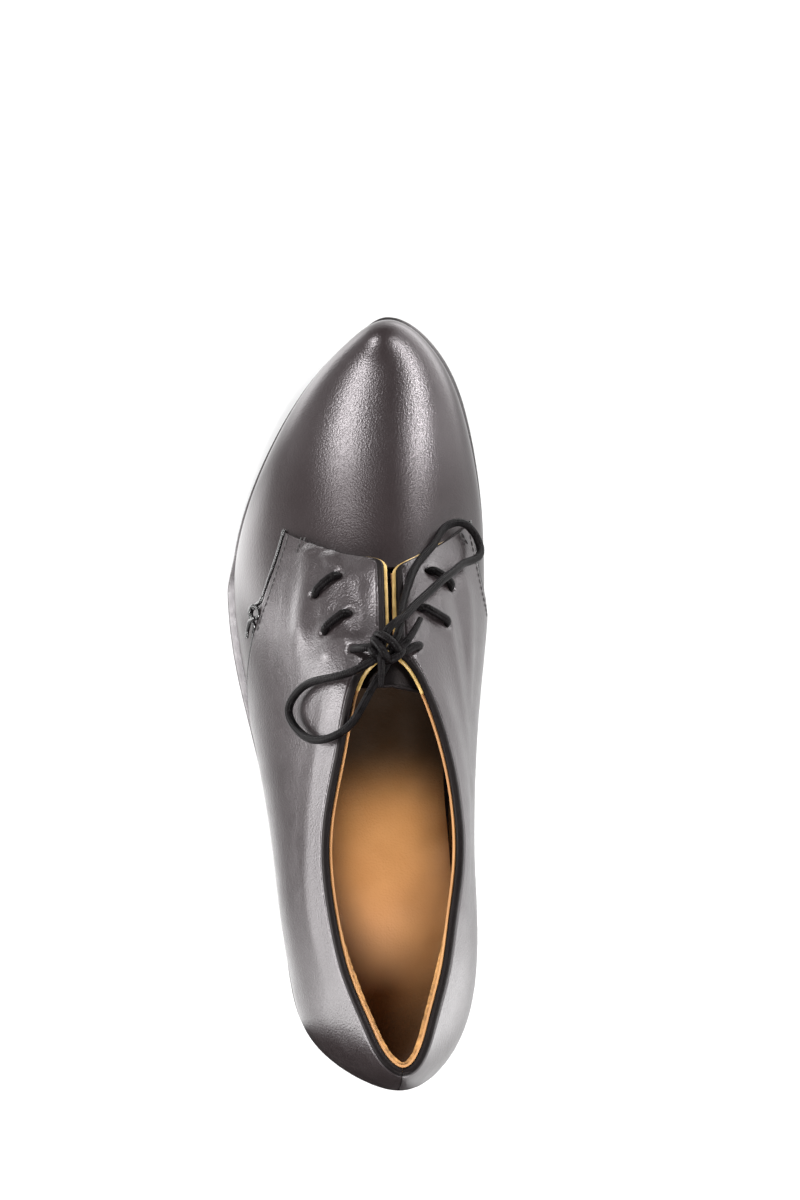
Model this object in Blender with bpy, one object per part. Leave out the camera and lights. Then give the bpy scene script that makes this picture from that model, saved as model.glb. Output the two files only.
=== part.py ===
"""Left lace-up shoe of soft black leather, standing empty on its sole and low block heel.

Lengths are in metres and +Z is up. The toe points along +Y and the inner side of the foot is +X.
Every piece is worked out from one chart of the last: u runs once round the foot, from the back of
the heel by the outer side to the tip and home by the inner side, and v climbs from the feather
edge, where the upper meets the sole, to the ridge along the top of the foot.
"""
from collections import Counter, namedtuple

import bmesh
import bpy
import numpy as np
from mathutils import Matrix, Vector

MM = 0.001

# Sole and heel
SOLE_TIP_Y = 131.3 * MM
SOLE_THICK = 4.0 * MM
SOLE_MARGIN = 2.4 * MM
TOE_SPRING = 7.0 * MM
TOE_SPRING_POWER = 1.8
TREAD_FRONT_Y = 66.0 * MM
TREAD_BACK_Y = 22.0 * MM
SEAT_FRONT_Y = -74.0 * MM
HEEL_HEIGHT = 25.0 * MM
HEEL_BREAST_Y = -76.5 * MM
HEEL_BREAST_HOLLOW = 3.0 * MM
TOP_LIFT_THICK = 5.0 * MM
HEEL_TAPER = 1.2 * MM

# Walls
GAP = 0.3 * MM
FACET_GAP = 0.5 * MM
TONGUE_CLEARANCE = 1.1 * MM
UPPER_WALL = 1.6 * MM
QUARTER_WALL = 1.1 * MM
TONGUE_WALL = 1.5 * MM
INSOLE_THICK = 2.5 * MM
INSOLE_CLEARANCE = 0.4 * MM
LINING_SLIT = 0.8 * MM
FACING_SLIT = 3.4 * MM
BACK_SEAM_U = 0.006

# Cords
LACE_DIAMETER = 3.0 * MM
SEAM_CORD_DIAMETER = 1.4 * MM
SEAM_CORD_CLEARANCE = 0.7 * MM
BAR_ARCH = 0.5 * MM
TUBE_SIDES_HALF = 2

# Fineness of the faceted forms
COLUMNS_PER_SECTION = 3
WALL_RINGS = 14
QUARTER_FRONT_COLUMNS = 6
SOLE_STRIPS = 4
TONGUE_RINGS = 4
HEEL_POINTS = 25
BREAST_POINTS = 9
BAR_POINTS = 6
SEAM_CORD_POINTS = 24
ROUTE_STEP = 2.2
BEAD_AROUND = 12
BEAD_RINGS = 8
SHARP_ANGLE = np.radians(40)

# Sections of the last, in millimetres. Each side has its point on the feather edge, the share of
# the height that the wall climbs straight, how far it swells outwards, and the share of the width
# that the crown stays level beside the ridge.
Section = namedtuple("Section", "name lateral_x lateral_y medial_x medial_y ridge_x ridge_y ridge_z "
                     "lateral_wall lateral_out lateral_crown medial_wall medial_out medial_crown")
SECTIONS = [
    Section("heel_back", 10.2, -127.5, 10.2, -127.5, 9.5, -101, 104, .40, 4.0, .40, .40, 4.0, .40),
    Section("heel_turn", -12.5, -115.5, 26.5, -116.5, 9.5, -94, 103, .36, 7.5, .06, .36, 10.0, .06),
    Section("heel_side", -21.0, -96.0, 33.5, -97.0, 9.0, -82, 100, .33, 6.5, .18, .36, 10.0, .10),
    Section("heel_front", -24.0, -72.0, 33.5, -74.0, 8.5, -66, 97, .32, 11.0, .14, .36, 11.5, .26),
    Section("waist_back", -27.0, -47.0, 31.5, -50.0, 8.5, -48, 92.5, .30, 10.0, .30, .38, 11.5, .68),
    Section("waist", -32.5, -18.0, 33.0, -22.0, 8.0, -25, 87, .30, 7.0, .26, .42, 12.0, .60),
    Section("instep", -38.5, 8.0, 37.5, 5.0, 7.5, 2, 77.5, .34, 1.5, .40, .48, 10.0, .40),
    Section("throat", -41.7, 31.0, 40.5, 28.0, 7.7, 27, 62, .36, 3.0, .50, .50, 8.5, .50),
    Section("ball", -40.8, 52.0, 41.5, 50.0, 8.0, 47, 47.5, .42, 2.0, .46, .52, 7.5, .48),
    Section("vamp", -33.2, 77.0, 40.0, 74.0, 8.7, 70, 36.5, .48, 2.0, .52, .50, 6.0, .54),
    Section("toe", -19.5, 103.0, 34.5, 101.0, 9.6, 94, 29.0, .50, 3.0, .54, .52, 4.0, .54),
    Section("toe_turn", -4.5, 120.5, 25.0, 119.6, 10.2, 109, 25.0, .55, 3.0, .56, .55, 3.0, .56),
    Section("tip", 10.6, 128.9, 10.6, 128.9, 10.4, 114, 23.6, .62, 3.0, .58, .62, 3.0, .58),
]
TURN = 2 * (len(SECTIONS) - 1)
TIP_U = TURN / 2

# Height of the topline along the shoe, in millimetres
ToplinePoint = namedtuple("ToplinePoint", "y z")
TOPLINE = [
    ToplinePoint(-140, 92.0),
    ToplinePoint(-121, 88.0),
    ToplinePoint(-100, 82.0),
    ToplinePoint(-75, 75.5),
    ToplinePoint(-50, 72.5),
    ToplinePoint(-25, 72.5),
    ToplinePoint(0, 73.6),
    ToplinePoint(14, 73.0),
]

# Places on the chart, and the stretches of it that are searched for others
CHART_STEP = 1e-3
COLLAR_FRONT_RANGE = (5.5, 7.5)
HEEL_BREAST_RANGE = (1.0, 5.0)
TOPLINE_RANGE = (0.2, 1.0)
THROAT_U = 7.65
TONGUE_FRONT_U = 8.0
TONGUE_TOP_U = 6.0
TONGUE_EDGE_FRONT_V = 0.62
TONGUE_EDGE_TOP_V = 0.80

# Edge of each quarter on the vamp: from the sole, along the side, up to its front corner
EdgePoint = namedtuple("EdgePoint", "u v")
LATERAL_EDGE = [
    EdgePoint(5.0, 0.0),
    EdgePoint(5.4, 0.083),
    EdgePoint(5.8, 0.142),
    EdgePoint(6.35, 0.265),
    EdgePoint(7.05, 0.408),
    EdgePoint(8.2, 0.50),
]
MEDIAL_EDGE = [
    EdgePoint(6.1, 0.0),
    EdgePoint(6.93, 0.193),
    EdgePoint(7.37, 0.33),
    EdgePoint(8.05, 0.41),
    EdgePoint(8.42, 0.447),
]

# Lace holes, counted along the lace from the toe: chart places on the facing of each side
LaceHole = namedtuple("LaceHole", "u v")
LATERAL_HOLES = [LaceHole(7.42, .787), LaceHole(7.10, .687), LaceHole(6.85, .823), LaceHole(6.57, .71)]
MEDIAL_HOLES = [LaceHole(7.58, .773), LaceHole(7.33, .62), LaceHole(6.98, .837), LaceHole(6.75, .65)]

SEAM_CORD_INSET_U = 0.15
SEAM_KNOT_U = 6.85
SEAM_KNOT_HALF = (1.9, 4.4, 1.7)

# Bow: middle of the knot, its half sizes, and the routes from the top holes, of the loops and of
# the ends, all in millimetres
KNOT_CENTRE = (4.8, 13.4, 79.4)
KNOT_HALF = (5.6, 4.6, 3.9)
TOP_RUNS = {
    "lace_bar_lateral_top": [(-6.0, 13.4, 72.2), (-3.4, 13.4, 74.6), (-1.1, 13.4, 77.5)],
    "lace_bar_medial_top": [(16.2, 14.4, 73.4), (13.8, 13.6, 75.4), (11.8, 12.4, 76.8)],
}
BOW_ROUTES = {
    "lace_loop_lateral": [
        (0.0, 8.6, 78.6), (-6.3, 5.4, 76.6), (-15.2, 3.4, 69.0), (-21.9, 0.5, 60.5), (-25.4, -6.0, 56.0),
        (-22.4, -13.0, 61.0), (-15.0, -16.2, 71.5), (-7.0, -12.2, 77.4), (-2.0, -4.6, 78.4),
        (2.0, 2.4, 77.8), (5.0, 7.2, 76.8)],
    "lace_loop_medial": [
        (8.9, 17.3, 74.9), (11.0, 26.0, 67.2), (13.9, 35.6, 59.4), (17.9, 43.6, 52.4), (23.6, 50.4, 45.8),
        (28.1, 56.4, 40.1), (33.4, 57.7, 37.3), (36.6, 55.8, 35.2), (39.0, 52.1, 34.7), (39.5, 47.5, 37.3),
        (33.6, 43.6, 45.4), (29.6, 40.4, 52.6), (25.0, 36.8, 59.2), (20.4, 32.6, 64.2), (15.6, 28.2, 69.5),
        (10.6, 23.3, 75.0), (6.0, 19.5, 78.2)],
    "lace_end_lateral": [(3.4, 8.4, 81.2), (3.4, 5.0, 81.6), (3.4, 1.0, 80.4)],
    "lace_end_medial": [(10.8, 14.4, 79.0), (14.0, 18.4, 77.0), (16.6, 23.0, 73.6)],
}


def smoothstep(t):
    t = np.clip(t, 0.0, 1.0)
    return t * t * (3.0 - 2.0 * t)


def closed_spline(rows):
    """Periodic cubic through evenly spaced rows, as a function of the row number."""
    rows = np.asarray(rows, float)
    count = len(rows)
    ring = np.eye(count)
    system = 4.0 * ring + np.roll(ring, 1, 1) + np.roll(ring, -1, 1)
    rates = np.linalg.solve(system, 3.0 * (np.roll(rows, -1, 0) - np.roll(rows, 1, 0)))

    def at(u):
        u = np.asarray(u, float) % count
        first = np.floor(u).astype(int)
        t = (u - first)[..., None]
        second = (first + 1) % count
        start = rows[first] * (1 + 2 * t) * (1 - t) ** 2 + rates[first] * t * (1 - t) ** 2
        end = rows[second] * t * t * (3 - 2 * t) - rates[second] * t * t * (1 - t)
        return start + end
    return at


def open_spline(places, rows):
    """Natural cubic through rows at increasing places."""
    places = np.asarray(places, float)
    rows = np.asarray(rows, float)
    step = np.diff(places)
    count = len(places)
    system = np.eye(count)
    pull = np.zeros((count,) + rows.shape[1:])
    for k in range(1, count - 1):
        system[k, k - 1:k + 2] = step[k - 1], 2 * (step[k - 1] + step[k]), step[k]
        pull[k] = 6 * ((rows[k + 1] - rows[k]) / step[k] - (rows[k] - rows[k - 1]) / step[k - 1])
    bend = np.linalg.solve(system, pull)

    def at(x):
        x = np.asarray(x, float)
        k = np.clip(np.searchsorted(places, x) - 1, 0, count - 2)
        extra = (1,) * (rows.ndim - 1)
        h = step[k].reshape(x.shape + extra)
        a = (places[k + 1] - x).reshape(x.shape + extra) / h
        b = 1 - a
        curl = ((a ** 3 - a) * bend[k] + (b ** 3 - b) * bend[k + 1]) * h * h / 6
        return a * rows[k] + b * rows[k + 1] + curl
    return at


def ridge_falls():
    """Downward slope of the ridge towards the toe at each section."""
    y = np.array([s.ridge_y for s in SECTIONS], float)
    z = np.array([s.ridge_z for s in SECTIONS], float)
    return -np.gradient(z, y)


def chart_rows():
    """Sections in order round the foot: foot x and y, ridge x, y, z and fall, wall, swell, crown."""
    lateral = []
    medial = []
    for s, fall in zip(SECTIONS, ridge_falls()):
        ridge = [s.ridge_x * MM, s.ridge_y * MM, s.ridge_z * MM, fall]
        lateral.append([s.lateral_x * MM, s.lateral_y * MM] + ridge
                       + [s.lateral_wall, s.lateral_out * MM, s.lateral_crown])
        medial.append([s.medial_x * MM, s.medial_y * MM] + ridge
                      + [s.medial_wall, s.medial_out * MM, s.medial_crown])
    return lateral + medial[-2:0:-1]


chart = closed_spline(chart_rows())
topline_height = open_spline([p.y * MM for p in TOPLINE], [p.z * MM for p in TOPLINE])


def sole_under(y):
    """Height of the outsole's underside: level tread, toe spring, and the shank's rise to the seat."""
    y = np.asarray(y, float)
    ahead = np.clip((y - TREAD_FRONT_Y) / (SOLE_TIP_Y - TREAD_FRONT_Y), 0.0, None)
    behind = (TREAD_BACK_Y - y) / (TREAD_BACK_Y - SEAT_FRONT_Y)
    return TOE_SPRING * ahead ** TOE_SPRING_POWER + HEEL_HEIGHT * smoothstep(behind)


def outward(u):
    """Plan direction square to the feather edge."""
    along = (chart(u + CHART_STEP) - chart(u - CHART_STEP))[..., :2]
    square = np.stack([-along[..., 1], along[..., 0]], axis=-1)
    return square / np.linalg.norm(square, axis=-1, keepdims=True)


def last_point(u, v):
    """Point of the last's surface, a cubic arch in v from the feather edge to the ridge."""
    u, v = np.broadcast_arrays(np.asarray(u, float), np.asarray(v, float))
    row = chart(u)
    feather = sole_under(row[..., 1]) + SOLE_THICK + GAP
    foot = np.concatenate([row[..., :2], feather[..., None]], -1)
    ridge = row[..., 2:5]
    fall, wall, swell, crown = (row[..., k, None] for k in (5, 6, 7, 8))
    rise = ridge[..., 2:] - foot[..., 2:]
    wall_end = foot + np.concatenate([outward(u) * swell, rise * wall], -1)
    across = (foot - ridge)[..., :2]
    crown_end = ridge + crown * np.concatenate([across, -fall * across[..., 1:]], -1)
    t = v[..., None]
    low = foot * (1 - t) ** 3 + 3 * wall_end * t * (1 - t) ** 2
    return low + 3 * crown_end * t * t * (1 - t) + ridge * t ** 3


def last_normal(u, v):
    """Outward normal, level at the feather edge and square to the ridge line on top."""
    u, v = np.broadcast_arrays(np.asarray(u, float), np.asarray(v, float))
    inside = np.clip(v, CHART_STEP, 1 - CHART_STEP)
    along = last_point(u + CHART_STEP, inside) - last_point(u - CHART_STEP, inside)
    up = last_point(u, inside + CHART_STEP) - last_point(u, inside - CHART_STEP)
    normal = np.cross(up, along)
    normal /= np.linalg.norm(normal, axis=-1, keepdims=True)
    fall = chart(u)[..., 5]
    top = np.stack([np.zeros_like(fall), fall, np.ones_like(fall)], -1)
    top /= np.linalg.norm(top, axis=-1, keepdims=True)
    level = np.concatenate([outward(u), np.zeros(u.shape + (1,))], -1)
    normal = np.where((v >= 1)[..., None], top, normal)
    return np.where((v <= 0)[..., None], level, normal)


def grown(u, v, offset):
    return last_point(u, v) + offset * last_normal(u, v)


def solve(function, low, high, steps=50):
    """Place between low and high where a rising function crosses zero."""
    for _ in range(steps):
        middle = (low + high) / 2
        if function(middle) < 0:
            low = middle
        else:
            high = middle
    return (low + high) / 2


def above_topline(u, v):
    point = last_point(u, v)
    return float(point[2] - topline_height(point[1]))


# The ridge comes down through the topline here, where the two facings end
COLLAR_FRONT_U = solve(lambda u: -above_topline(u, 1.0), *COLLAR_FRONT_RANGE)


# Chart places that the upper and the quarters share behind the throat
WALL_STOPS = (0.0, COLLAR_FRONT_U, THROAT_U)


def fold(u):
    """Chart place of the same section on the outer side."""
    return round(min(u % TURN, TURN - u % TURN), 9)


def slit_v(u, width):
    """Edge of the lacing slit, half its width from the ridge."""
    row = chart(u)
    reach = np.linalg.norm(row[:2] - row[2:4]) * row[8]
    return 1.0 - width / 2 / (3 * reach)


def collar_v(u, slit):
    """Upper edge of a wall behind the throat: the topline, then the edge of the slit."""
    edge = slit_v(u, slit)
    if fold(u) >= COLLAR_FRONT_U:
        return edge
    top = solve(lambda v: above_topline(u, v), *TOPLINE_RANGE)
    near_slit = fold(u) > COLLAR_FRONT_U - 1
    return min(top, edge) if near_slit else top


def upper_top(u):
    return collar_v(u, LINING_SLIT) if fold(u) < THROAT_U else 1.0


def section_places(start, end):
    """Evenly spread chart places from start to end."""
    count = max(2, round((end - start) * COLUMNS_PER_SECTION))
    return list(np.linspace(start, end, count + 1))


def joined_places(*stops):
    places = [stops[0]]
    for start, end in zip(stops, stops[1:]):
        places += section_places(start, end)[1:]
    return places


Patch = namedtuple("Patch", "u v faces")


def chart_patch(runs, low, high, rings):
    """Grid over the chart between two edges, with the two sides joined along the ridge."""
    index = {}
    faces = []
    for places in runs:
        columns = []
        for u in places:
            bottom = low(u)
            top = high(u)
            column = []
            for k in range(rings + 1):
                v = bottom + (top - bottom) * k / rings
                key = (fold(u) if v >= 1 else round(u % TURN, 9), round(v, 9))
                column.append(index.setdefault(key, len(index)))
            columns.append(column)
        for left, right in zip(columns, columns[1:]):
            for k in range(rings):
                face = list(dict.fromkeys([left[k], left[k + 1], right[k + 1], right[k]]))
                if len(face) > 2:
                    faces.append(face)
    keys = np.array(list(index))
    return Patch(keys[:, 0], keys[:, 1], faces)


def mesh_object(name, bm, material):
    bmesh.ops.recalc_face_normals(bm, faces=bm.faces)
    mesh = bpy.data.meshes.new(name)
    bm.to_mesh(mesh)
    bm.free()
    mesh.shade_smooth()
    mesh.set_sharp_from_angle(angle=SHARP_ANGLE)
    mesh.materials.append(material)
    piece = bpy.data.objects.new(name, mesh)
    SHOE.objects.link(piece)
    return piece


def chart_wall(name, patch, outer, inner, material):
    """Closed wall between two offsets of the last over one patch of its chart."""
    bm = bmesh.new()
    outside = [bm.verts.new(p) for p in grown(patch.u, patch.v, outer)]
    inside = [bm.verts.new(p) for p in grown(patch.u, patch.v, inner)]
    sides = Counter()
    for face in patch.faces:
        bm.faces.new([outside[k] for k in face])
        bm.faces.new([inside[k] for k in reversed(face)])
        for a, b in zip(face, face[1:] + face[:1]):
            sides[(a, b)] += 1
    for a, b in sides:
        if (b, a) not in sides:
            bm.faces.new([outside[b], outside[a], inside[a], inside[b]])
    return mesh_object(name, bm, material)


def outline_point(u, margin):
    return chart(u)[..., :2] + margin * outward(u)


def sole_layer(name, margin, low, high, material):
    """Layer that follows the sole's profile, between two heights over the outsole's underside."""
    bm = bmesh.new()
    columns = []
    for u in joined_places(0.0, TIP_U):
        lateral = outline_point(u, margin)
        medial = outline_point(TURN - u, margin)
        single = u in (0.0, TIP_U)
        shares = [0.5] if single else [k / SOLE_STRIPS for k in range(SOLE_STRIPS + 1)]
        plan = [lateral + (medial - lateral) * share for share in shares]
        layer = []
        for height in (low, high):
            layer.append([bm.verts.new((x, y, sole_under(y) + height)) for x, y in plan])
        columns.append(layer)
    for left, right in zip(columns, columns[1:]):
        for a, b in zip(left, right):
            for k in range(SOLE_STRIPS):
                corners = [a[min(k, len(a) - 1)], a[min(k + 1, len(a) - 1)],
                           b[min(k + 1, len(b) - 1)], b[min(k, len(b) - 1)]]
                bm.faces.new(list(dict.fromkeys(corners)))
        for end in (0, -1):
            bm.faces.new([left[0][end], right[0][end], right[1][end], left[1][end]])
    return mesh_object(name, bm, material)


def heel_outline(margin):
    """Plan of the heel: the sole's edge behind the breast, and the breast's shallow hollow."""
    outer_u = solve(lambda u: outline_point(u, margin)[1] - HEEL_BREAST_Y, *HEEL_BREAST_RANGE)
    inner_u = solve(lambda u: outline_point(TURN - u, margin)[1] - HEEL_BREAST_Y, *HEEL_BREAST_RANGE)
    plan = [outline_point(u, margin) for u in np.linspace(-inner_u, outer_u, HEEL_POINTS)]
    start = plan[-1]
    end = plan[0]
    for share in np.linspace(0, 1, BREAST_POINTS)[1:-1]:
        hollow = HEEL_BREAST_HOLLOW * np.sin(np.pi * share)
        plan.append(start + (end - start) * share - np.array([0, hollow]))
    return plan


def heel_layer(name, low, high, low_margin, high_margin, material):
    """Layer of the heel between two heights, lofted from its lower to its upper plan."""
    bm = bmesh.new()
    rings = []
    for z, margin in ((low, low_margin), (high, high_margin)):
        rings.append([bm.verts.new((x, y, z)) for x, y in heel_outline(margin)])
    for ring in rings:
        bm.faces.new(ring)
    count = len(rings[0])
    for k in range(count):
        after = (k + 1) % count
        bm.faces.new([rings[0][k], rings[0][after], rings[1][after], rings[1][k]])
    return mesh_object(name, bm, material)


def plain_material(name, colour, roughness):
    material = bpy.data.materials.new(name)
    material.use_nodes = True
    shader = material.node_tree.nodes["Principled BSDF"]
    shader.inputs["Base Color"].default_value = (*colour, 1.0)
    shader.inputs["Roughness"].default_value = roughness
    shader.inputs["Metallic"].default_value = 0.0
    return material


def start_collections():
    for piece in list(bpy.data.objects):
        bpy.data.objects.remove(piece, do_unlink=True)
    shoe = bpy.data.collections.new("lace_up_shoe")
    bpy.context.scene.collection.children.link(shoe)
    return shoe


SHOE = start_collections()
BLACK = (0.018, 0.015, 0.016)
TAN = (0.42, 0.21, 0.07)
LEATHER_ROUGHNESS = 0.4
CORD_ROUGHNESS = 0.5
RUBBER_ROUGHNESS = 0.8


def build_bottom():
    """Outsole, heel and insole."""
    sole_layer("outsole", SOLE_MARGIN, 0.0, SOLE_THICK,
               plain_material("sole_leather", BLACK, LEATHER_ROUGHNESS))
    block_margin = SOLE_MARGIN - HEEL_TAPER / 2
    heel_layer("heel_block", TOP_LIFT_THICK + GAP, HEEL_HEIGHT - GAP, block_margin - HEEL_TAPER,
               block_margin, plain_material("heel_leather", BLACK, LEATHER_ROUGHNESS))
    heel_layer("heel_top_lift", 0.0, TOP_LIFT_THICK, block_margin - HEEL_TAPER,
               block_margin - HEEL_TAPER, plain_material("heel_rubber", BLACK, RUBBER_ROUGHNESS))
    insole_low = SOLE_THICK + GAP
    sole_layer("insole", -UPPER_WALL - INSOLE_CLEARANCE, insole_low, insole_low + INSOLE_THICK,
               plain_material("sock_leather", TAN, LEATHER_ROUGHNESS))


def build_upper():
    outer = joined_places(*WALL_STOPS, TIP_U)
    inner = [TURN - u for u in reversed(outer)]
    patch = chart_patch([outer + inner[1:]], lambda u: 0.0, upper_top, WALL_RINGS)
    chart_wall("upper", patch, 0.0, -UPPER_WALL, plain_material("upper_leather", BLACK, LEATHER_ROUGHNESS))


def tongue_edge(u):
    share = (fold(u) - TONGUE_TOP_U) / (TONGUE_FRONT_U - TONGUE_TOP_U)
    return TONGUE_EDGE_TOP_V + (TONGUE_EDGE_FRONT_V - TONGUE_EDGE_TOP_V) * smoothstep(share)


def build_tongue():
    outer = joined_places(TONGUE_TOP_U, COLLAR_FRONT_U, TONGUE_FRONT_U)
    inner = [TURN - u for u in reversed(outer)]
    patch = chart_patch([outer, inner], tongue_edge, lambda u: 1.0, TONGUE_RINGS)
    outer_face = -UPPER_WALL - TONGUE_CLEARANCE
    chart_wall("tongue", patch, outer_face, outer_face - TONGUE_WALL,
               plain_material("tongue_leather", BLACK, LEATHER_ROUGHNESS))


def quarter_low(edge):
    """Lower edge of a quarter: the feather edge, then its own edge on the vamp."""
    along = open_spline([p.u for p in edge], [p.v for p in edge])
    return lambda u: max(0.0, float(along(fold(u)))) if fold(u) > edge[0].u else 0.0


def quarter_high(edge):
    """Upper edge of a quarter: topline and slit, then its front edge from the throat to the corner."""
    corner = edge[-1]
    start = slit_v(THROAT_U, FACING_SLIT)

    def at(u):
        if fold(u) <= THROAT_U:
            return collar_v(u, FACING_SLIT)
        share = (fold(u) - THROAT_U) / (corner.u - THROAT_U)
        return start + (corner.v - start) * share
    return at


def build_quarter(name, edge, side):
    places = joined_places(*WALL_STOPS)
    places[0] = BACK_SEAM_U
    front = np.linspace(THROAT_U, edge[-1].u, QUARTER_FRONT_COLUMNS + 1)
    places = sorted(places + [edge[0].u] + list(front[1:]))
    patch = chart_patch([[u if side < 0 else TURN - u for u in places]],
                        quarter_low(edge), quarter_high(edge), WALL_RINGS)
    chart_wall(name, patch, FACET_GAP + QUARTER_WALL, FACET_GAP,
               plain_material(name + "_leather", BLACK, LEATHER_ROUGHNESS))


def tube(name, points, diameter, material):
    """Round cord through points, as a bevelled curve with closed ends."""
    data = bpy.data.curves.new(name, "CURVE")
    data.dimensions = "3D"
    data.bevel_depth = diameter / 2
    data.bevel_resolution = TUBE_SIDES_HALF
    data.use_fill_caps = True
    spline = data.splines.new("POLY")
    spline.points.add(len(points) - 1)
    for place, point in zip(spline.points, points):
        place.co = (*point, 1.0)
    spline.use_smooth = True
    data.materials.append(material)
    piece = bpy.data.objects.new(name, data)
    SHOE.objects.link(piece)
    return piece


def smooth_route(points):
    """Evenly spread points of a smooth curve through a hand-set route."""
    points = np.array(points) * MM
    run = np.concatenate([[0], np.cumsum(np.linalg.norm(np.diff(points, axis=0), axis=1))])
    count = max(3, round(run[-1] / (ROUTE_STEP * LACE_DIAMETER)))
    return open_spline(run, points)(np.linspace(0, run[-1], count + 1))


def bead(name, centre, half, turn, material):
    """Rounded lump of a tied knot."""
    bm = bmesh.new()
    bmesh.ops.create_uvsphere(bm, u_segments=BEAD_AROUND, v_segments=BEAD_RINGS, radius=1.0)
    piece = mesh_object(name, bm, material)
    piece.data.transform(turn.to_4x4() @ Matrix.Diagonal((*half, 1.0)))
    piece.location = centre
    return piece


def chart_run(first, last, side, offset, arch, count):
    """Points from one chart place to another at a height over the last, arched in the middle."""
    share = np.linspace(0, 1, count)
    u = first.u + (last.u - first.u) * share
    v = first.v + (last.v - first.v) * share
    u = u if side < 0 else TURN - u
    height = offset + arch * np.sin(np.pi * share)
    return last_point(u, v) + height[:, None] * last_normal(u, v)


def build_lace():
    """Bars on the facings, runs from the top holes, and the bow."""
    lift = FACET_GAP + QUARTER_WALL + GAP + LACE_DIAMETER / 2
    for word, holes, side in (("lateral", LATERAL_HOLES, -1), ("medial", MEDIAL_HOLES, 1)):
        for place, first in (("front", 0), ("back", 2)):
            run = chart_run(holes[first], holes[first + 1], side, lift, BAR_ARCH, BAR_POINTS)
            name = "lace_bar_" + word + "_" + place
            tube(name, run, LACE_DIAMETER, plain_material(name + "_cord", BLACK, CORD_ROUGHNESS))
    knot_material = plain_material("lace_knot_cord", BLACK, CORD_ROUGHNESS)
    bead("lace_knot", [c * MM for c in KNOT_CENTRE], [h * MM for h in KNOT_HALF],
         Matrix.Identity(3), knot_material)
    for name, route in (TOP_RUNS | BOW_ROUTES).items():
        tube(name, smooth_route(route), LACE_DIAMETER,
             plain_material(name + "_cord", BLACK, CORD_ROUGHNESS))


def edge_normal_turn(u, v):
    """Rotation that takes +Z to the last's normal and +Y along the chart's u direction."""
    normal = Vector(last_normal(u, v))
    along = Vector(last_point(u + CHART_STEP, v) - last_point(u - CHART_STEP, v))
    along = (along - along.dot(normal) * normal).normalized()
    return Matrix((along.cross(normal), along, normal)).transposed()


def build_seam_cords():
    """Thin cord laid against the side edge of each quarter, knotted on the outer side."""
    lift = GAP + SEAM_CORD_DIAMETER / 2
    for word, edge, side in (("lateral", LATERAL_EDGE, -1), ("medial", MEDIAL_EDGE, 1)):
        along = open_spline([p.u for p in edge], [p.v for p in edge])
        places = np.linspace(edge[0].u + SEAM_CORD_INSET_U, edge[-1].u, SEAM_CORD_POINTS)
        u = places if side < 0 else TURN - places
        edge_v = along(places)
        climb = np.linalg.norm(last_point(u, edge_v + CHART_STEP) - last_point(u, edge_v), axis=-1)
        v = edge_v - CHART_STEP * (SEAM_CORD_CLEARANCE + SEAM_CORD_DIAMETER / 2) / climb
        points = last_point(u, v) + lift * last_normal(u, v)
        name = "seam_cord_" + word
        tube(name, points, SEAM_CORD_DIAMETER, plain_material(name + "_cord", BLACK, CORD_ROUGHNESS))
    knot_v = float(open_spline([p.u for p in LATERAL_EDGE], [p.v for p in LATERAL_EDGE])(SEAM_KNOT_U))
    height = lift + SEAM_CORD_DIAMETER / 2 + GAP + SEAM_KNOT_HALF[2] * MM
    centre = last_point(SEAM_KNOT_U, knot_v) + height * last_normal(SEAM_KNOT_U, knot_v)
    bead("seam_knot_lateral", centre, [h * MM for h in SEAM_KNOT_HALF],
         edge_normal_turn(SEAM_KNOT_U, knot_v), plain_material("seam_knot_cord", BLACK, CORD_ROUGHNESS))


build_bottom()
build_upper()
build_tongue()
build_quarter("quarter_lateral", LATERAL_EDGE, -1)
build_quarter("quarter_medial", MEDIAL_EDGE, 1)
build_lace()
build_seam_cords()
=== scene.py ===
"""Looks of the left lace-up shoe: leather, linings, lace, stitches, sole, light and camera.

Lengths are in metres and +Z is up. The toe points along +Y and the inner side of the foot is +X.
The chart of the last is the one that the part is built on, apart from the lean of the worn counter:
u runs once round the foot, from the back of the heel by the outer side to the tip and home by the inner
side, and v climbs from the feather edge, where the upper meets the sole, to the ridge along the top of
the foot.
"""
from collections import namedtuple

import bpy
import numpy as np
from mathutils import Matrix, Vector


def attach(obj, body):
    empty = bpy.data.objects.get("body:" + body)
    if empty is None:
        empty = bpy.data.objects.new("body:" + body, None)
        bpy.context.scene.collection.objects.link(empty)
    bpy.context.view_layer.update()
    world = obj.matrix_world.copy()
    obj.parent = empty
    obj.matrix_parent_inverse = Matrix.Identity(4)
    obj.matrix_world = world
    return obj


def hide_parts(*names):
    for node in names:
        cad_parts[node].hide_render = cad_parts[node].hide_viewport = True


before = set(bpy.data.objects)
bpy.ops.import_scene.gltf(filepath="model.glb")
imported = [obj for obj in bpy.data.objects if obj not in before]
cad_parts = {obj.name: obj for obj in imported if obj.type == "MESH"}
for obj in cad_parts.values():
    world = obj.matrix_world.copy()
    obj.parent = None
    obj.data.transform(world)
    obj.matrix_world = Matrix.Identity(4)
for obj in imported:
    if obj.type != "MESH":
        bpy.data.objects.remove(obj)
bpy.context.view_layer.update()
BODY = "root"
MM = 0.001

# Camera and frame of the photograph
EYE = Vector((-0.07205, -0.05294, 1.24390))
AIM = Vector((0.01514, 0.03425, 0.0))
FOCAL_LENGTH = 108.7
SENSOR_HEIGHT = 36.0

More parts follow.
